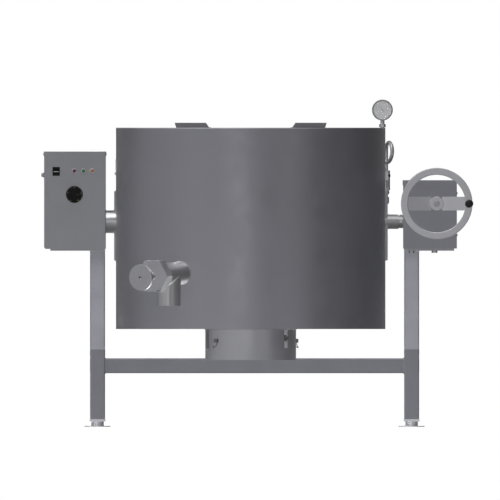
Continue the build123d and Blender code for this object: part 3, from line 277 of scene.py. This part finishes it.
def resample(pts, step, closed):
    pts = [Vector(p) for p in pts]
    if closed:
        pts = pts + [pts[0]]
    lens = [0.0]
    for a, b in zip(pts, pts[1:]):
        lens.append(lens[-1] + (b - a).length)
    n = max(4, int(round(lens[-1] / step)))
    out, k = [], 0
    for i in range(n if closed else n + 1):
        d = lens[-1] * i / n
        while k < len(lens) - 2 and lens[k + 1] < d:
            k += 1
        span = lens[k + 1] - lens[k]
        out.append(pts[k].lerp(pts[k + 1], (d - lens[k]) / span if span else 0.0))
    return out


def sweep(bm, pts, radius, ref, closed, sides=10, squash=1.0):
    """A tube along pts (millimetres). radius is a function of the index; squash flattens it along ref."""
    n, rings = len(pts), []
    for i, p in enumerate(pts):
        a = pts[i - 1] if (closed or i > 0) else pts[i]
        b = pts[(i + 1) % n] if (closed or i < n - 1) else pts[i]
        t = (b - a).normalized()
        rf = ref(i) if callable(ref) else ref
        u = (rf - t * rf.dot(t)).normalized()
        v = t.cross(u)
        r = radius(i)
        rings.append([bm.verts.new((p + (u * math.cos(w) * squash + v * math.sin(w)) * r) * MM)
                      for w in (2 * math.pi * k / sides for k in range(sides))])
    for i in range(n if closed else n - 1):
        A, B = rings[i], rings[(i + 1) % n]
        for k in range(sides):
            bm.faces.new((A[k], A[(k + 1) % sides], B[(k + 1) % sides], B[k]))
    if not closed:
        bm.faces.new(list(reversed(rings[0])))
        bm.faces.new(rings[-1])


def beads(name, paths, body, mat="weld", angle=60.0):
    """Weld runs: each path is (points, radius, reference direction, closed, squash), with overlapping ripples."""
    bm = bmesh.new()
    for pts, r, ref, closed, squash in paths:
        q = resample(pts, max(0.9, r * 0.55), closed)
        step = max(0.9, r * 0.55)
        pitch = max(2.4, 1.7 * r)

        def rad(i, r=r, step=step, pitch=pitch, n=len(q), closed=closed):
            ph = (i * step / pitch) % 1.0
            k = 0.86 + 0.18 * (1.0 - ph) ** 1.5 + 0.05 * math.sin(i * 0.37) * math.sin(i * 0.11 + 1.3)
            if not closed:
                k *= min(1.0, 0.45 + 0.25 * min(i, n - 1 - i))
            return r * k
        sweep(bm, q, rad, ref, closed, 8, squash)
    return finish_piece(name, bm, mat, body, angle)


def axis_basis(axis):
    a = Vector(axis).normalized()
    ref = Vector((0, 0, 1)) if abs(a.z) < 0.9 else Vector((1, 0, 0))
    u = (ref - a * ref.dot(a)).normalized()
    return a, u, a.cross(u)


def add_lathe(bm, prof, origin, axis, sides=48, close_profile=False):
    """prof is (radius, height along axis), in millimetres. With r = 0 at both ends it is a solid, else a closed ring."""
    a, u, v = axis_basis(axis)
    o = Vector(origin)
    rings = []
    for r, h in prof:
        if r < 1e-6:
            rings.append([bm.verts.new((o + a * h) * MM)])
        else:
            rings.append([bm.verts.new((o + a * h + (u * math.cos(w) + v * math.sin(w)) * r) * MM)
                          for w in (2 * math.pi * k / sides for k in range(sides))])
    pairs = list(zip(rings, rings[1:]))
    if close_profile:
        pairs.append((rings[-1], rings[0]))
    for A, B in pairs:
        for k in range(sides):
            j = (k + 1) % sides
            if len(A) == 1 and len(B) == 1:
                continue
            if len(A) == 1:
                bm.faces.new((A[0], B[j], B[k]))
            elif len(B) == 1:
                bm.faces.new((A[k], A[j], B[0]))
            else:
                bm.faces.new((A[k], A[j], B[j], B[k]))


def add_box(bm, lo, hi, bevel, rot=None, pivot=None, segments=3):
    new = bmesh.ops.create_cube(bm, size=1.0)["verts"]
    lo, hi = Vector(lo), Vector(hi)
    for w in new:
        w.co = Vector([lo[k] + (w.co[k] + 0.5) * (hi[k] - lo[k]) for k in range(3)]) * MM
    if bevel:
        edges = list({e for w in new for e in w.link_edges})
        got = bmesh.ops.bevel(bm, geom=edges, offset=bevel * MM, segments=segments, profile=0.6, affect="EDGES")
        new = list({w for f in got["faces"] for w in f.verts})
    if rot is not None:
        bmesh.ops.rotate(bm, verts=new, cent=Vector(pivot) * MM, matrix=rot)
    return new


def add_hex(bm, origin, axis, across, height, chamfer=1.0, turn=0.0, hole=0.0):
    """A hexagon head or nut with a chamfered outer end."""
    a, u, v = axis_basis(axis)
    o = Vector(origin)
    R = across / 2 / math.cos(math.pi / 6)
    levels = [(R, 0.0), (R, height - chamfer * 0.6), (R - chamfer, height)]
    rings = []
    for r, h in levels:
        rings.append([bm.verts.new((o + a * h + (u * math.cos(w) + v * math.sin(w)) * r) * MM)
                      for w in (turn + math.pi / 3 * k for k in range(6))])
    for A, B in zip(rings, rings[1:]):
        for k in range(6):
            bm.faces.new((A[k], A[(k + 1) % 6], B[(k + 1) % 6], B[k]))
    bm.faces.new(list(reversed(rings[0])))
    bm.faces.new(rings[-1])


def words(name, items, mat, body, extrude=0.12):
    """Numerals: items are (text, size, centre, right direction, up direction), joined into one piece."""
    bm = bmesh.new()
    for text, size, centre, right, up in items:
        cu = bpy.data.curves.new("numeral", "FONT")
        cu.body = text
        cu.size = size * MM
        cu.align_x, cu.align_y = "CENTER", "CENTER"
        cu.extrude = extrude * MM
        cu.resolution_u = 3
        tmp = bpy.data.objects.new("numeral", cu)
        bpy.context.scene.collection.objects.link(tmp)
        bpy.context.view_layer.update()
        me = bpy.data.meshes.new_from_object(tmp.evaluated_get(bpy.context.evaluated_depsgraph_get()))
        bpy.data.objects.remove(tmp)
        r, w = Vector(right).normalized(), Vector(up).normalized()
        n = r.cross(w)
        mt = Matrix((r, w, n)).transposed().to_4x4()
        mt.translation = Vector(centre) * MM
        me.transform(mt)
        bm.from_mesh(me)
        bpy.data.meshes.remove(me)
    return finish_piece(name, bm, mat, body, 30.0)


def ring_pts(centre, u, v, r, n=96):
    return [Vector(centre) + Vector(u) * (r * math.cos(2 * math.pi * k / n)) + Vector(v) * (r * math.sin(2 * math.pi * k / n)) for k in range(n)]


X, Y, Z = Vector((1, 0, 0)), Vector((0, 1, 0)), Vector((0, 0, 1))

# ------------------------------------------------------------------ welds on the stand
ang = 0.7
for _ in range(20):
    zk = 259.0 - LEG / 2 * math.tan(ang / 2)
    ang = math.atan2(LEG_Y - 58.0, Z_STRUT_TOP - zk)
runs = []
for sx in (-1, 1):
    for sy in (-1, 1):
        x, y = sx * LEG_X, sy * 385.0
        for z, dz in ((Z_BAR, -0.6), (Z_BAR + LEG, 0.6)):
            runs.append(([(x - 21, y - sy * 0.6, z + dz), (x + 21, y - sy * 0.6, z + dz)], 2.3, Y, False, 1.0))
        for dx in (-25, 25):
            runs.append(([(x + dx, y, Z_BAR + 3), (x + dx, y, Z_BAR + LEG - 3)], 1.3, X, False, 0.35))
        # the strut's top, under its plate
        h = 25.0 / math.cos(ang)
        yc = sy * 58.0
        top = [(x - 24, yc - h, 0), (x + 24, yc - h, 0), (x + 24, yc + h, 0), (x - 24, yc + h, 0)]
        runs.append(([(p, q, Z_STRUT_TOP - 1.0) for p, q, _ in top], 2.0, Z, True, 1.0))
        # the mitre, ground nearly flush
        k = math.tan(ang / 2) * 25.0
        yo, yi = sy * (LEG_Y + 25.0), sy * (LEG_Y - 25.0)
        mit = [(x - 24.6, yo, zk + k), (x + 24.6, yo, zk + k), (x + 25.0, sy * (LEG_Y + 20.0), zk + k * 0.8), (x + 25.0, sy * (LEG_Y - 20.0), zk - k * 0.8),
               (x + 24.6, yi, zk - k), (x - 24.6, yi, zk - k), (x - 25.0, sy * (LEG_Y - 20.0), zk - k * 0.8), (x - 25.0, sy * (LEG_Y + 20.0), zk + k * 0.8)]
        runs.append((mit, 0.55, Z, True, 1.0))
    x = sx * 499.5
    for z, dz in ((Z_BAR, -0.6), (Z_BAR + LEG, 0.6)):
        runs.append(([(x - sx * 0.6, LEG_Y - 21, z + dz), (x - sx * 0.6, LEG_Y + 21, z + dz)], 2.3, X, False, 1.0))
    for dy in (-25, 25):
        runs.append(([(x, LEG_Y + dy, Z_BAR + 3), (x, LEG_Y + dy, Z_BAR + LEG - 3)], 1.3, Y, False, 0.35))
beads("stand_welds", runs, "frame")

# ------------------------------------------------------------------ welds on the kettle
runs = []
for side, th in ((-1, 6.0), (1, 8.0)):
    arc = [math.asin(t / 450.0) for t in range(-22, 23, 4)]
    for z in (555.4, 787.6):
        runs.append(([(AX + side * 450.8 * math.cos(w), 450.8 * math.sin(w), z) for w in arc], 1.7, Z, False, 1.0))
pads, rings = [], []
for side, th, rr in ((-1, 6.0, 38.6), (1, 8.0, 24.9)):
    gap = math.sqrt(rr ** 2 - 22.0 ** 2) + 3.0
    for yy in (-22.9, 22.9):
        xx = AX + side * math.sqrt(450.6 ** 2 - yy ** 2)
        for z0, z1 in ((556.0, TZ - gap), (TZ + gap, 787.0)):
            pads.append(([(xx, yy, z0), (xx, yy, z1)], 1.7, X, False, 1.0))
    pts = []
    for k in range(120):
        w = 2 * math.pi * k / 120
        yy = rr * math.cos(w)
        out = 450.4 + th * max(0.0, min(1.0, (24.0 - abs(yy)) / 2.0))
        pts.append((AX + side * math.sqrt(out ** 2 - yy ** 2), yy, TZ + rr * math.sin(w)))
    rings.append((pts, 1.3, X, True, 1.0))
beads("pad_welds", pads, "kettle", "weld_dark")
beads("trunnion_welds", rings, "kettle", "polished")
# the draw-off pipe through the casing
e1 = Vector((math.cos(TAP_AZ), -math.sin(TAP_AZ), 0.0))
e2 = e1.cross(TAP_U)
pts = []
for k in range(96):
    w = 2 * math.pi * k / 96
    s = 0.0
    for _ in range(12):
        p = tap_pt(s) + (e1 * math.cos(w) + e2 * math.sin(w)) * 40.6
        s += 450.6 - math.hypot(p.x - AX, p.y)
    pts.append(tap_pt(s) + (e1 * math.cos(w) + e2 * math.sin(w)) * 40.6)
runs.append((pts, 1.9, TAP_U, True, 1.0))
# the spout under it
sp = tap_pt(72.0)
pts = []
for k in range(96):
    w = 2 * math.pi * k / 96
    q = Vector((sp.x + 39.7 * math.cos(w), sp.y + 39.7 * math.sin(w), 0))
    rel = Vector((q.x - tap_pt(0).x, q.y - tap_pt(0).y, 0))
    hu = Vector((TAP_U.x, TAP_U.y, 0)).normalized()
    s, off = rel.dot(hu), rel.dot(e1)
    pts.append((q.x, q.y, 512.0 - s * math.tan(TAP_DROP) - math.sqrt(max(0.0, 40.2 ** 2 - off ** 2)) / math.cos(TAP_DROP) - 0.3))
runs.append((pts, 1.5, Z, True, 1.0))
# burner housing, casing seam, steam port
runs.append((ring_pts((AX, 0, Z_BOT - 0.7), X, Y, 152.4, 180), 1.6, Z, True, 1.0))
w = math.radians(150)
sx_, sy_ = AX + 450.1 * math.sin(w), -450.1 * math.cos(w)
runs.append(([(sx_, sy_, Z_BOT + 2), (sx_, sy_, Z_RIM - 5)], 1.5, Vector((math.sin(w), -math.cos(w), 0)), False, 0.3))
pc = Vector((AX, 0, 751.0)) + PN * 450.2
runs.append((ring_pts(pc, Vector((-PN.y, PN.x, 0)), Z, 8.2, 40), 1.3, PN, True, 1.0))
beads("kettle_welds", runs, "kettle", "weld_dark")

# ------------------------------------------------------------------ control box: lamp bezels, rocker, knob
FY = -150.0
for nm, lx in (("red", -602.3), ("green", -571.5), ("orange", -542.1)):
    bm = bmesh.new()
    prof = [(6.1, 0.0), (6.1, -5.2), (5.8, -5.9), (5.7, -6.2), (5.9, -6.45), (7.0, -6.5), (7.6, -6.3), (7.95, -5.7), (8.0, -2.6), (8.2, -2.2), (8.6, -1.9), (8.9, -1.2), (8.9, 0.0)]
    add_lathe(bm, prof, (lx, FY, 854.4), (0, 1, 0), 56, True)
    finish_piece("lamp_bezel_" + nm, bm, "bezel", "frame", 50.0)

# a pale bar across the rocker's middle: a painted highlight standing for the light on the rocker's ridge
bm = bmesh.new()
add_box(bm, (-8.5, -0.35, -1.25), (8.5, 0.35, 1.25), 0.25)
bmesh.ops.rotate(bm, verts=bm.verts, cent=(0, 0, 0), matrix=Matrix.Rotation(math.radians(7.0), 3, "X"))
bmesh.ops.translate(bm, verts=bm.verts, vec=Vector((-662.7, -152.1, 852.15)) * MM)
finish_piece("rocker_highlight_bar", bm, "rocker_highlight", "power_rocker")

KX, KZ = -601.9, 776.2
bm = bmesh.new()
for k in range(31):
    w = math.radians(-150 + 10 * k)
    r0 = 25.6 if k % 3 else 24.9
    c, s = math.sin(w), math.cos(w)
    rot = Matrix.Rotation(w, 3, "Y")
    new = add_box(bm, (-0.28, FY - 10.25, r0), (0.28, FY - 9.9, 27.4), 0.0)
    bmesh.ops.rotate(bm, verts=new, cent=Vector((0, FY, 0)) * MM, matrix=rot)
bmesh.ops.translate(bm, verts=bm.verts, vec=Vector((KX, 0, KZ)) * MM)
finish_piece("knob_scale", bm, "mark_dim", "thermostat_knob")
items = []
for k, t in enumerate(("0", "30", "60", "90", "120")):
    w = math.radians(-150 + 75 * k)
    items.append((t, 3.6, (KX + 22.7 * math.sin(w), FY - 10.1, KZ + 22.7 * math.cos(w)), (math.cos(w), 0, -math.sin(w)), (math.sin(w), 0, math.cos(w))))
words("knob_numerals", items, "mark_dim", "thermostat_knob", 0.15)
bm = bmesh.new()
add_box(bm, (KX + 7.5, FY - 26.35, KZ - 0.75), (KX + 17.5, FY - 25.7, KZ + 0.75), 0.2)
add_box(bm, (KX + 19.3, FY - 10.3, KZ - 0.9), (KX + 26.8, FY - 9.25, KZ + 0.9), 0.15)
finish_piece("knob_pointer", bm, "mark_dark", "thermostat_knob")
# a turned cap in the middle of the knob, with a raised rim
bm = bmesh.new()
add_lathe(bm, [(0, -1.0), (4.8, -1.0), (5.6, -1.25), (6.2, -1.0), (6.5, -0.3), (6.5, 0.6), (0, 0.6)], (KX, FY - 26.0, KZ), (0, 1, 0), 40)
finish_piece("knob_cap", bm, "black", "thermostat_knob")

# pan-head screws that hold the lid, on the two side flanges
bm = bmesh.new()
for sx, fx in ((-1, -704.4), (1, -495.7)):
    for yy in (-110.0, 110.0):
        add_lathe(bm, [(0, 1.9), (1.2, 1.9), (1.2, 0.9), (1.5, 0.9), (1.5, 1.85), (2.9, 1.6), (3.7, 0.9), (3.9, 0.2), (3.9, -0.6), (0, -0.6)], (fx, yy, 911.0), (sx, 0, 0), 28)
finish_piece("lid_screws", bm, "bolt", "frame", 30.0)

# ------------------------------------------------------------------ tap wheel: turned rim, socket screw
bm = bmesh.new()
add_lathe(bm, [(44.02, 248.1), (44.2, 248.7), (44.2, 254.2), (44.02, 254.7), (43.4, 254.7), (43.4, 248.1)], tap_pt(0), TAP_U, 96, True)
finish_piece("tap_wheel_rim", bm, "rim", "tap_handwheel", 40.0)
bm = bmesh.new()
add_lathe(bm, [(0, 259.0), (5.9, 259.0), (5.9, 260.8), (5.5, 261.4), (4.2, 261.6), (3.5, 261.4), (3.3, 260.6), (0, 260.6)], tap_pt(0), TAP_U, 32)
finish_piece("tap_wheel_screw", bm, "gear", "tap_handwheel", 30.0)
# a black hex plug in the screw's socket: painted shade standing for the dark of the recess
bm = bmesh.new()
add_hex(bm, tap_pt(260.2), TAP_U, 5.2, 0.9, 0.1)
finish_piece("tap_screw_socket_shade", bm, "black", "tap_handwheel", 30.0)

# ------------------------------------------------------------------ gauge: bezel, numerals, needle cap
GX_, GZ_ = AX + 440.0, 1058.1
GY_ = V_Y - math.sin(LOOP_AZ) * LOOP_PITCH
YF = GY_ - 14.0
bm = bmesh.new()
add_lathe(bm, [(30.05, 1.2), (30.05, -0.6), (30.6, -1.5), (31.8, -2.0), (33.2, -1.9), (34.3, -1.3), (34.9, -0.3), (34.97, 0.6), (34.97, 1.2)],
          (GX_, YF, GZ_), (0, 1, 0), 96, True)
finish_piece("gauge_bezel", bm, "bezel_gauge", "kettle", 50.0)
items = []
for k in range(7):
    w = math.radians(-135 + 45 * k)
    items.append((str(k), 5.4, (GX_ + 16.6 * math.sin(w), YF + 8.85, GZ_ + 16.6 * math.cos(w)), (1, 0, 0), (0, 0, 1)))
words("gauge_numerals", items, "ink_dim", "kettle", 0.12)
bm = bmesh.new()
pts = [(GX_ + 27.6 * math.sin(math.radians(d)), YF + 8.9, GZ_ + 27.6 * math.cos(math.radians(d))) for d in range(-135, 136, 3)]
sweep(bm, [Vector(p) for p in pts], lambda i: 0.35, Y, False, 8, 0.5)
finish_piece("gauge_scale_line", bm, "ink_dim", "kettle")
bm = bmesh.new()
add_lathe(bm, [(0, -1.3), (1.4, -1.25), (2.6, -0.8), (3.1, 0.0), (3.1, 0.9), (0, 0.9)], (GX_, YF + 5.5, GZ_), (0, 1, 0), 32)
finish_piece("needle_cap", bm, "ink", "gauge_needle")

# ------------------------------------------------------------------ trunnion set screws, handwheel, gearbox
bm = bmesh.new()
for d in ((0, -1, 0), (0, 0, 1)):
    o = Vector((489.0, 0, TZ)) + Vector(d) * 21.0
    add_lathe(bm, [(0, 0.9), (1.7, 0.9), (1.7, 2.6), (3.6, 2.6), (4.3, 2.2), (4.5, 1.6), (4.5, 0.0), (0, 0.0)], o, d, 28)
finish_piece("collar_screws", bm, "bolt", "kettle", 30.0)

# where the spoke runs into the rim and the hub
HY = -205.0
runs = []
for s in (-1, 1):
    x0 = WORM_X + s * 97.2
    runs.append(([(x0, -199.0, WORM_Z - 22.5), (x0 + s * 1.2, -199.0, WORM_Z), (x0, -199.0, WORM_Z + 22.5)], 2.2, X, False, 1.0))
beads("handwheel_welds", runs, "handwheel", "wheel", 60.0)
bm = bmesh.new()
add_lathe(bm, [(0, 0.3), (1.5, 0.3), (1.5, 1.6), (3.0, 1.6), (3.6, 1.0), (3.6, -1.0), (0, -1.0)], (WORM_X, -157.0, WORM_Z + 23.0), (0, 0, 1), 24)
finish_piece("hub_set_screw", bm, "bolt", "handwheel", 30.0)

# screws that hold the gearbox cover, on its right side
bm = bmesh.new()
for yy in (-95.0, 0.0, 95.0):
    for zz in (640.0, 780.0):
        add_lathe(bm, [(0, 1.4), (1.6, 1.4), (1.6, 2.6), (3.3, 2.4), (4.4, 1.5), (4.7, 0.5), (4.7, -0.8), (0, -0.8)], (675.5, yy, zz), (1, 0, 0), 28)
finish_piece("gearbox_screws", bm, "bolt", "frame", 30.0)

# ------------------------------------------------------------------ casing: plate and plug on its left, guide and flue fixings
bm = bmesh.new()
N = 14
grid = []
for i in range(N + 1):
    w = math.radians(-97.0 + 14.0 * i / N)
    row = []
    for r in (449.6, 451.3):
        for zz in (854.5, 892.5):
            row.append(bm.verts.new(Vector((AX + r * math.sin(w), -r * math.cos(w), zz)) * MM))
    grid.append(row)
for A, B in zip(grid, grid[1:]):
    for a, b in ((0, 1), (1, 3), (3, 2), (2, 0)):
        bm.faces.new((A[a], A[b], B[b], B[a]))
bm.faces.new([grid[0][k] for k in (0, 2, 3, 1)])
bm.faces.new([grid[-1][k] for k in (0, 1, 3, 2)])
bmesh.ops.bevel(bm, geom=[e for e in bm.edges if e.calc_face_angle(0) > 0.8], offset=0.4 * MM, segments=2, profile=0.6, affect="EDGES")
finish_piece("casing_plate", bm, "plate_bright", "kettle")
bm = bmesh.new()
for az_ in (-96.2, -83.8):
    for zz in (857.5, 889.5):
        w = math.radians(az_)
        d = Vector((math.sin(w), -math.cos(w), 0))
        add_lathe(bm, [(0, 0.9), (0.9, 0.8), (1.6, 0.4), (1.9, -0.4), (0, -0.4)], Vector((AX, 0, zz)) + d * 451.3, d, 20)
finish_piece("plate_rivets", bm, "bolt", "kettle", 50.0)
bm = bmesh.new()
d = Vector((-1, 0, 0))
add_lathe(bm, [(0, 4.6), (2.4, 4.5), (3.5, 3.9), (3.9, 3.0), (3.9, 1.6), (5.2, 1.4), (5.6, 0.9), (5.6, -0.6), (0, -0.6)], Vector((AX - 450.0, 0, 846.0)), d, 32)
finish_piece("casing_plug", bm, "bolt", "kettle", 40.0)

bm = bmesh.new()
for s in (-1, 1):
    for zz in (475.0, 540.0, 605.0, 670.0, 735.0):
        xx = s * 69.0
        d = Vector((xx, math.sqrt(452.2 ** 2 - xx ** 2), 0)).normalized()
        add_lathe(bm, [(0, 1.5), (1.5, 1.35), (2.8, 0.7), (3.3, -0.4), (0, -0.4)], Vector((AX, 0, zz)) + d * 452.2, d, 24)
finish_piece("flue_rivets", bm, "bolt", "kettle", 50.0)

# shallow spot welds on the guides' feet
bm = bmesh.new()
xo, xi = 248.4, 137.5
yo, yi = -math.sqrt(448.0 ** 2 - xo ** 2), -math.sqrt(448.0 ** 2 - xi ** 2)
cdv = Vector((xo - xi, yo - yi, 0)).normalized()
inw = Vector((-cdv.y, cdv.x, 0))
L = math.hypot(xo - xi, yo - yi)
for s in (-1, 1):
    for t in (0.2, 0.5, 0.8):
        p = Vector((xi, yi, 0)) + cdv * (L * t) + inw * 13.0
        add_lathe(bm, [(0, 0.25), (1.8, 0.2), (2.6, 0.45), (3.4, 0.4), (3.9, 0.05), (3.9, -0.3), (0, -0.3)], (AX + s * p.x, p.y, Z_RIM + 1.5), (0, 0, 1), 24)
finish_piece("guide_spot_welds", bm, "deck", "kettle", 50.0)

# ------------------------------------------------------------------ camera, straight at the front
WIDTH = 1.670           # width of the picture
cd = bpy.data.cameras.new("camera")
cam = bpy.data.objects.new("camera", cd)
bpy.context.scene.collection.objects.link(cam)
cd.type = "ORTHO"
cd.ortho_scale = WIDTH
cam.location = (-0.0154, -4.0, 0.5905)
cam.rotation_euler = (math.pi / 2, 0, 0)
cd.clip_start, cd.clip_end = 0.1, 20.0
bpy.context.scene.camera = cam
bpy.context.scene.view_settings.view_transform = "Standard"

# ------------------------------------------------------------------ floor
bm = bmesh.new()
bmesh.ops.create_circle(bm, cap_ends=True, segments=128, radius=1.9)
fm = bpy.data.meshes.new("floor")
bm.to_mesh(fm)
bm.free()
floor = bpy.data.objects.new("floor", fm)
bpy.context.scene.collection.objects.link(floor)
floor.location = (0, 0, -0.0004)
m, nt, b = new_mat("floor_pale")
co = nt.nodes.new("ShaderNodeTexCoord").outputs["Object"]
nt.links.new(tint(nt, noise(nt, co, 2.5, 3.0), (0.53, 0.53, 0.53), (0.57, 0.57, 0.57)), b.inputs["Base Color"])
b.inputs["Roughness"].default_value = 0.9
b.inputs["Specular IOR Level"].default_value = 0.1
fm.materials.append(m)

# ------------------------------------------------------------------ light: a dim even room and large soft lamps
world = bpy.data.worlds.new("room")
bpy.context.scene.world = world
world.use_nodes = True
wt = world.node_tree
wt.nodes.clear()
wout = wt.nodes.new("ShaderNodeOutputWorld")
room = wt.nodes.new("ShaderNodeBackground")
room.inputs["Color"].default_value = (0.98, 0.98, 1.0, 1)
ROOM = 0.060
room.inputs["Strength"].default_value = ROOM
white = wt.nodes.new("ShaderNodeBackground")
white.inputs["Color"].default_value = (1, 1, 1, 1)
white.inputs["Strength"].default_value = 1.0
path = wt.nodes.new("ShaderNodeLightPath")
mixs = wt.nodes.new("ShaderNodeMixShader")
wt.links.new(path.outputs["Is Camera Ray"], mixs.inputs["Fac"])
wt.links.new(room.outputs["Background"], mixs.inputs[1])
wt.links.new(white.outputs["Background"], mixs.inputs[2])
wt.links.new(mixs.outputs["Shader"], wout.inputs["Surface"])

# name: (azimuth from the front, + to the right; elevation; angular size; strength), degrees
SUNS = {
    "front": (-9, 3, 26, 0.442),
    "high_left": (-30, 58, 50, 1.357),
    "top": (-10, 78, 60, 0.799),
    "top_fill": (-5, 70, 60, 1.227),
    "left": (-80, 12, 70, 0.853),
    "right": (85, 12, 40, 0.069),
    "back_left": (-146, 25, 55, 0.240),
    "back_right": (158, 25, 50, 0.220),
    "rear": (178, 14, 30, 0.450),
    "glint_high": (149, 31, 30, 0.260),
    "glint_low": (151, -28, 28, 0.620),
    "low_left": (-40, -13, 40, 0.456),
    "low_right": (35, -13, 30, 0.406),
}
FILL = ("front", "high_left", "top_fill", "left", "low_left", "low_right", "back_left", "rear", "glint_high", "glint_low")   # lamps that fill the shade and throw none
for name, (a, e, size, strength) in SUNS.items():
    ld = bpy.data.lights.new(name, "SUN")
    ld.energy = strength
    ld.angle = math.radians(size)
    ld.use_shadow = name not in FILL
    ld.cycles.use_multiple_importance_sampling = name not in FILL
    lo = bpy.data.objects.new(name, ld)
    bpy.context.scene.collection.objects.link(lo)
    a, e = math.radians(a), math.radians(e)
    d = Vector((math.sin(a) * math.cos(e), -math.cos(a) * math.cos(e), math.sin(e)))
    lo.rotation_mode = "QUATERNION"
    lo.rotation_quaternion = d.to_track_quat("Z", "Y")
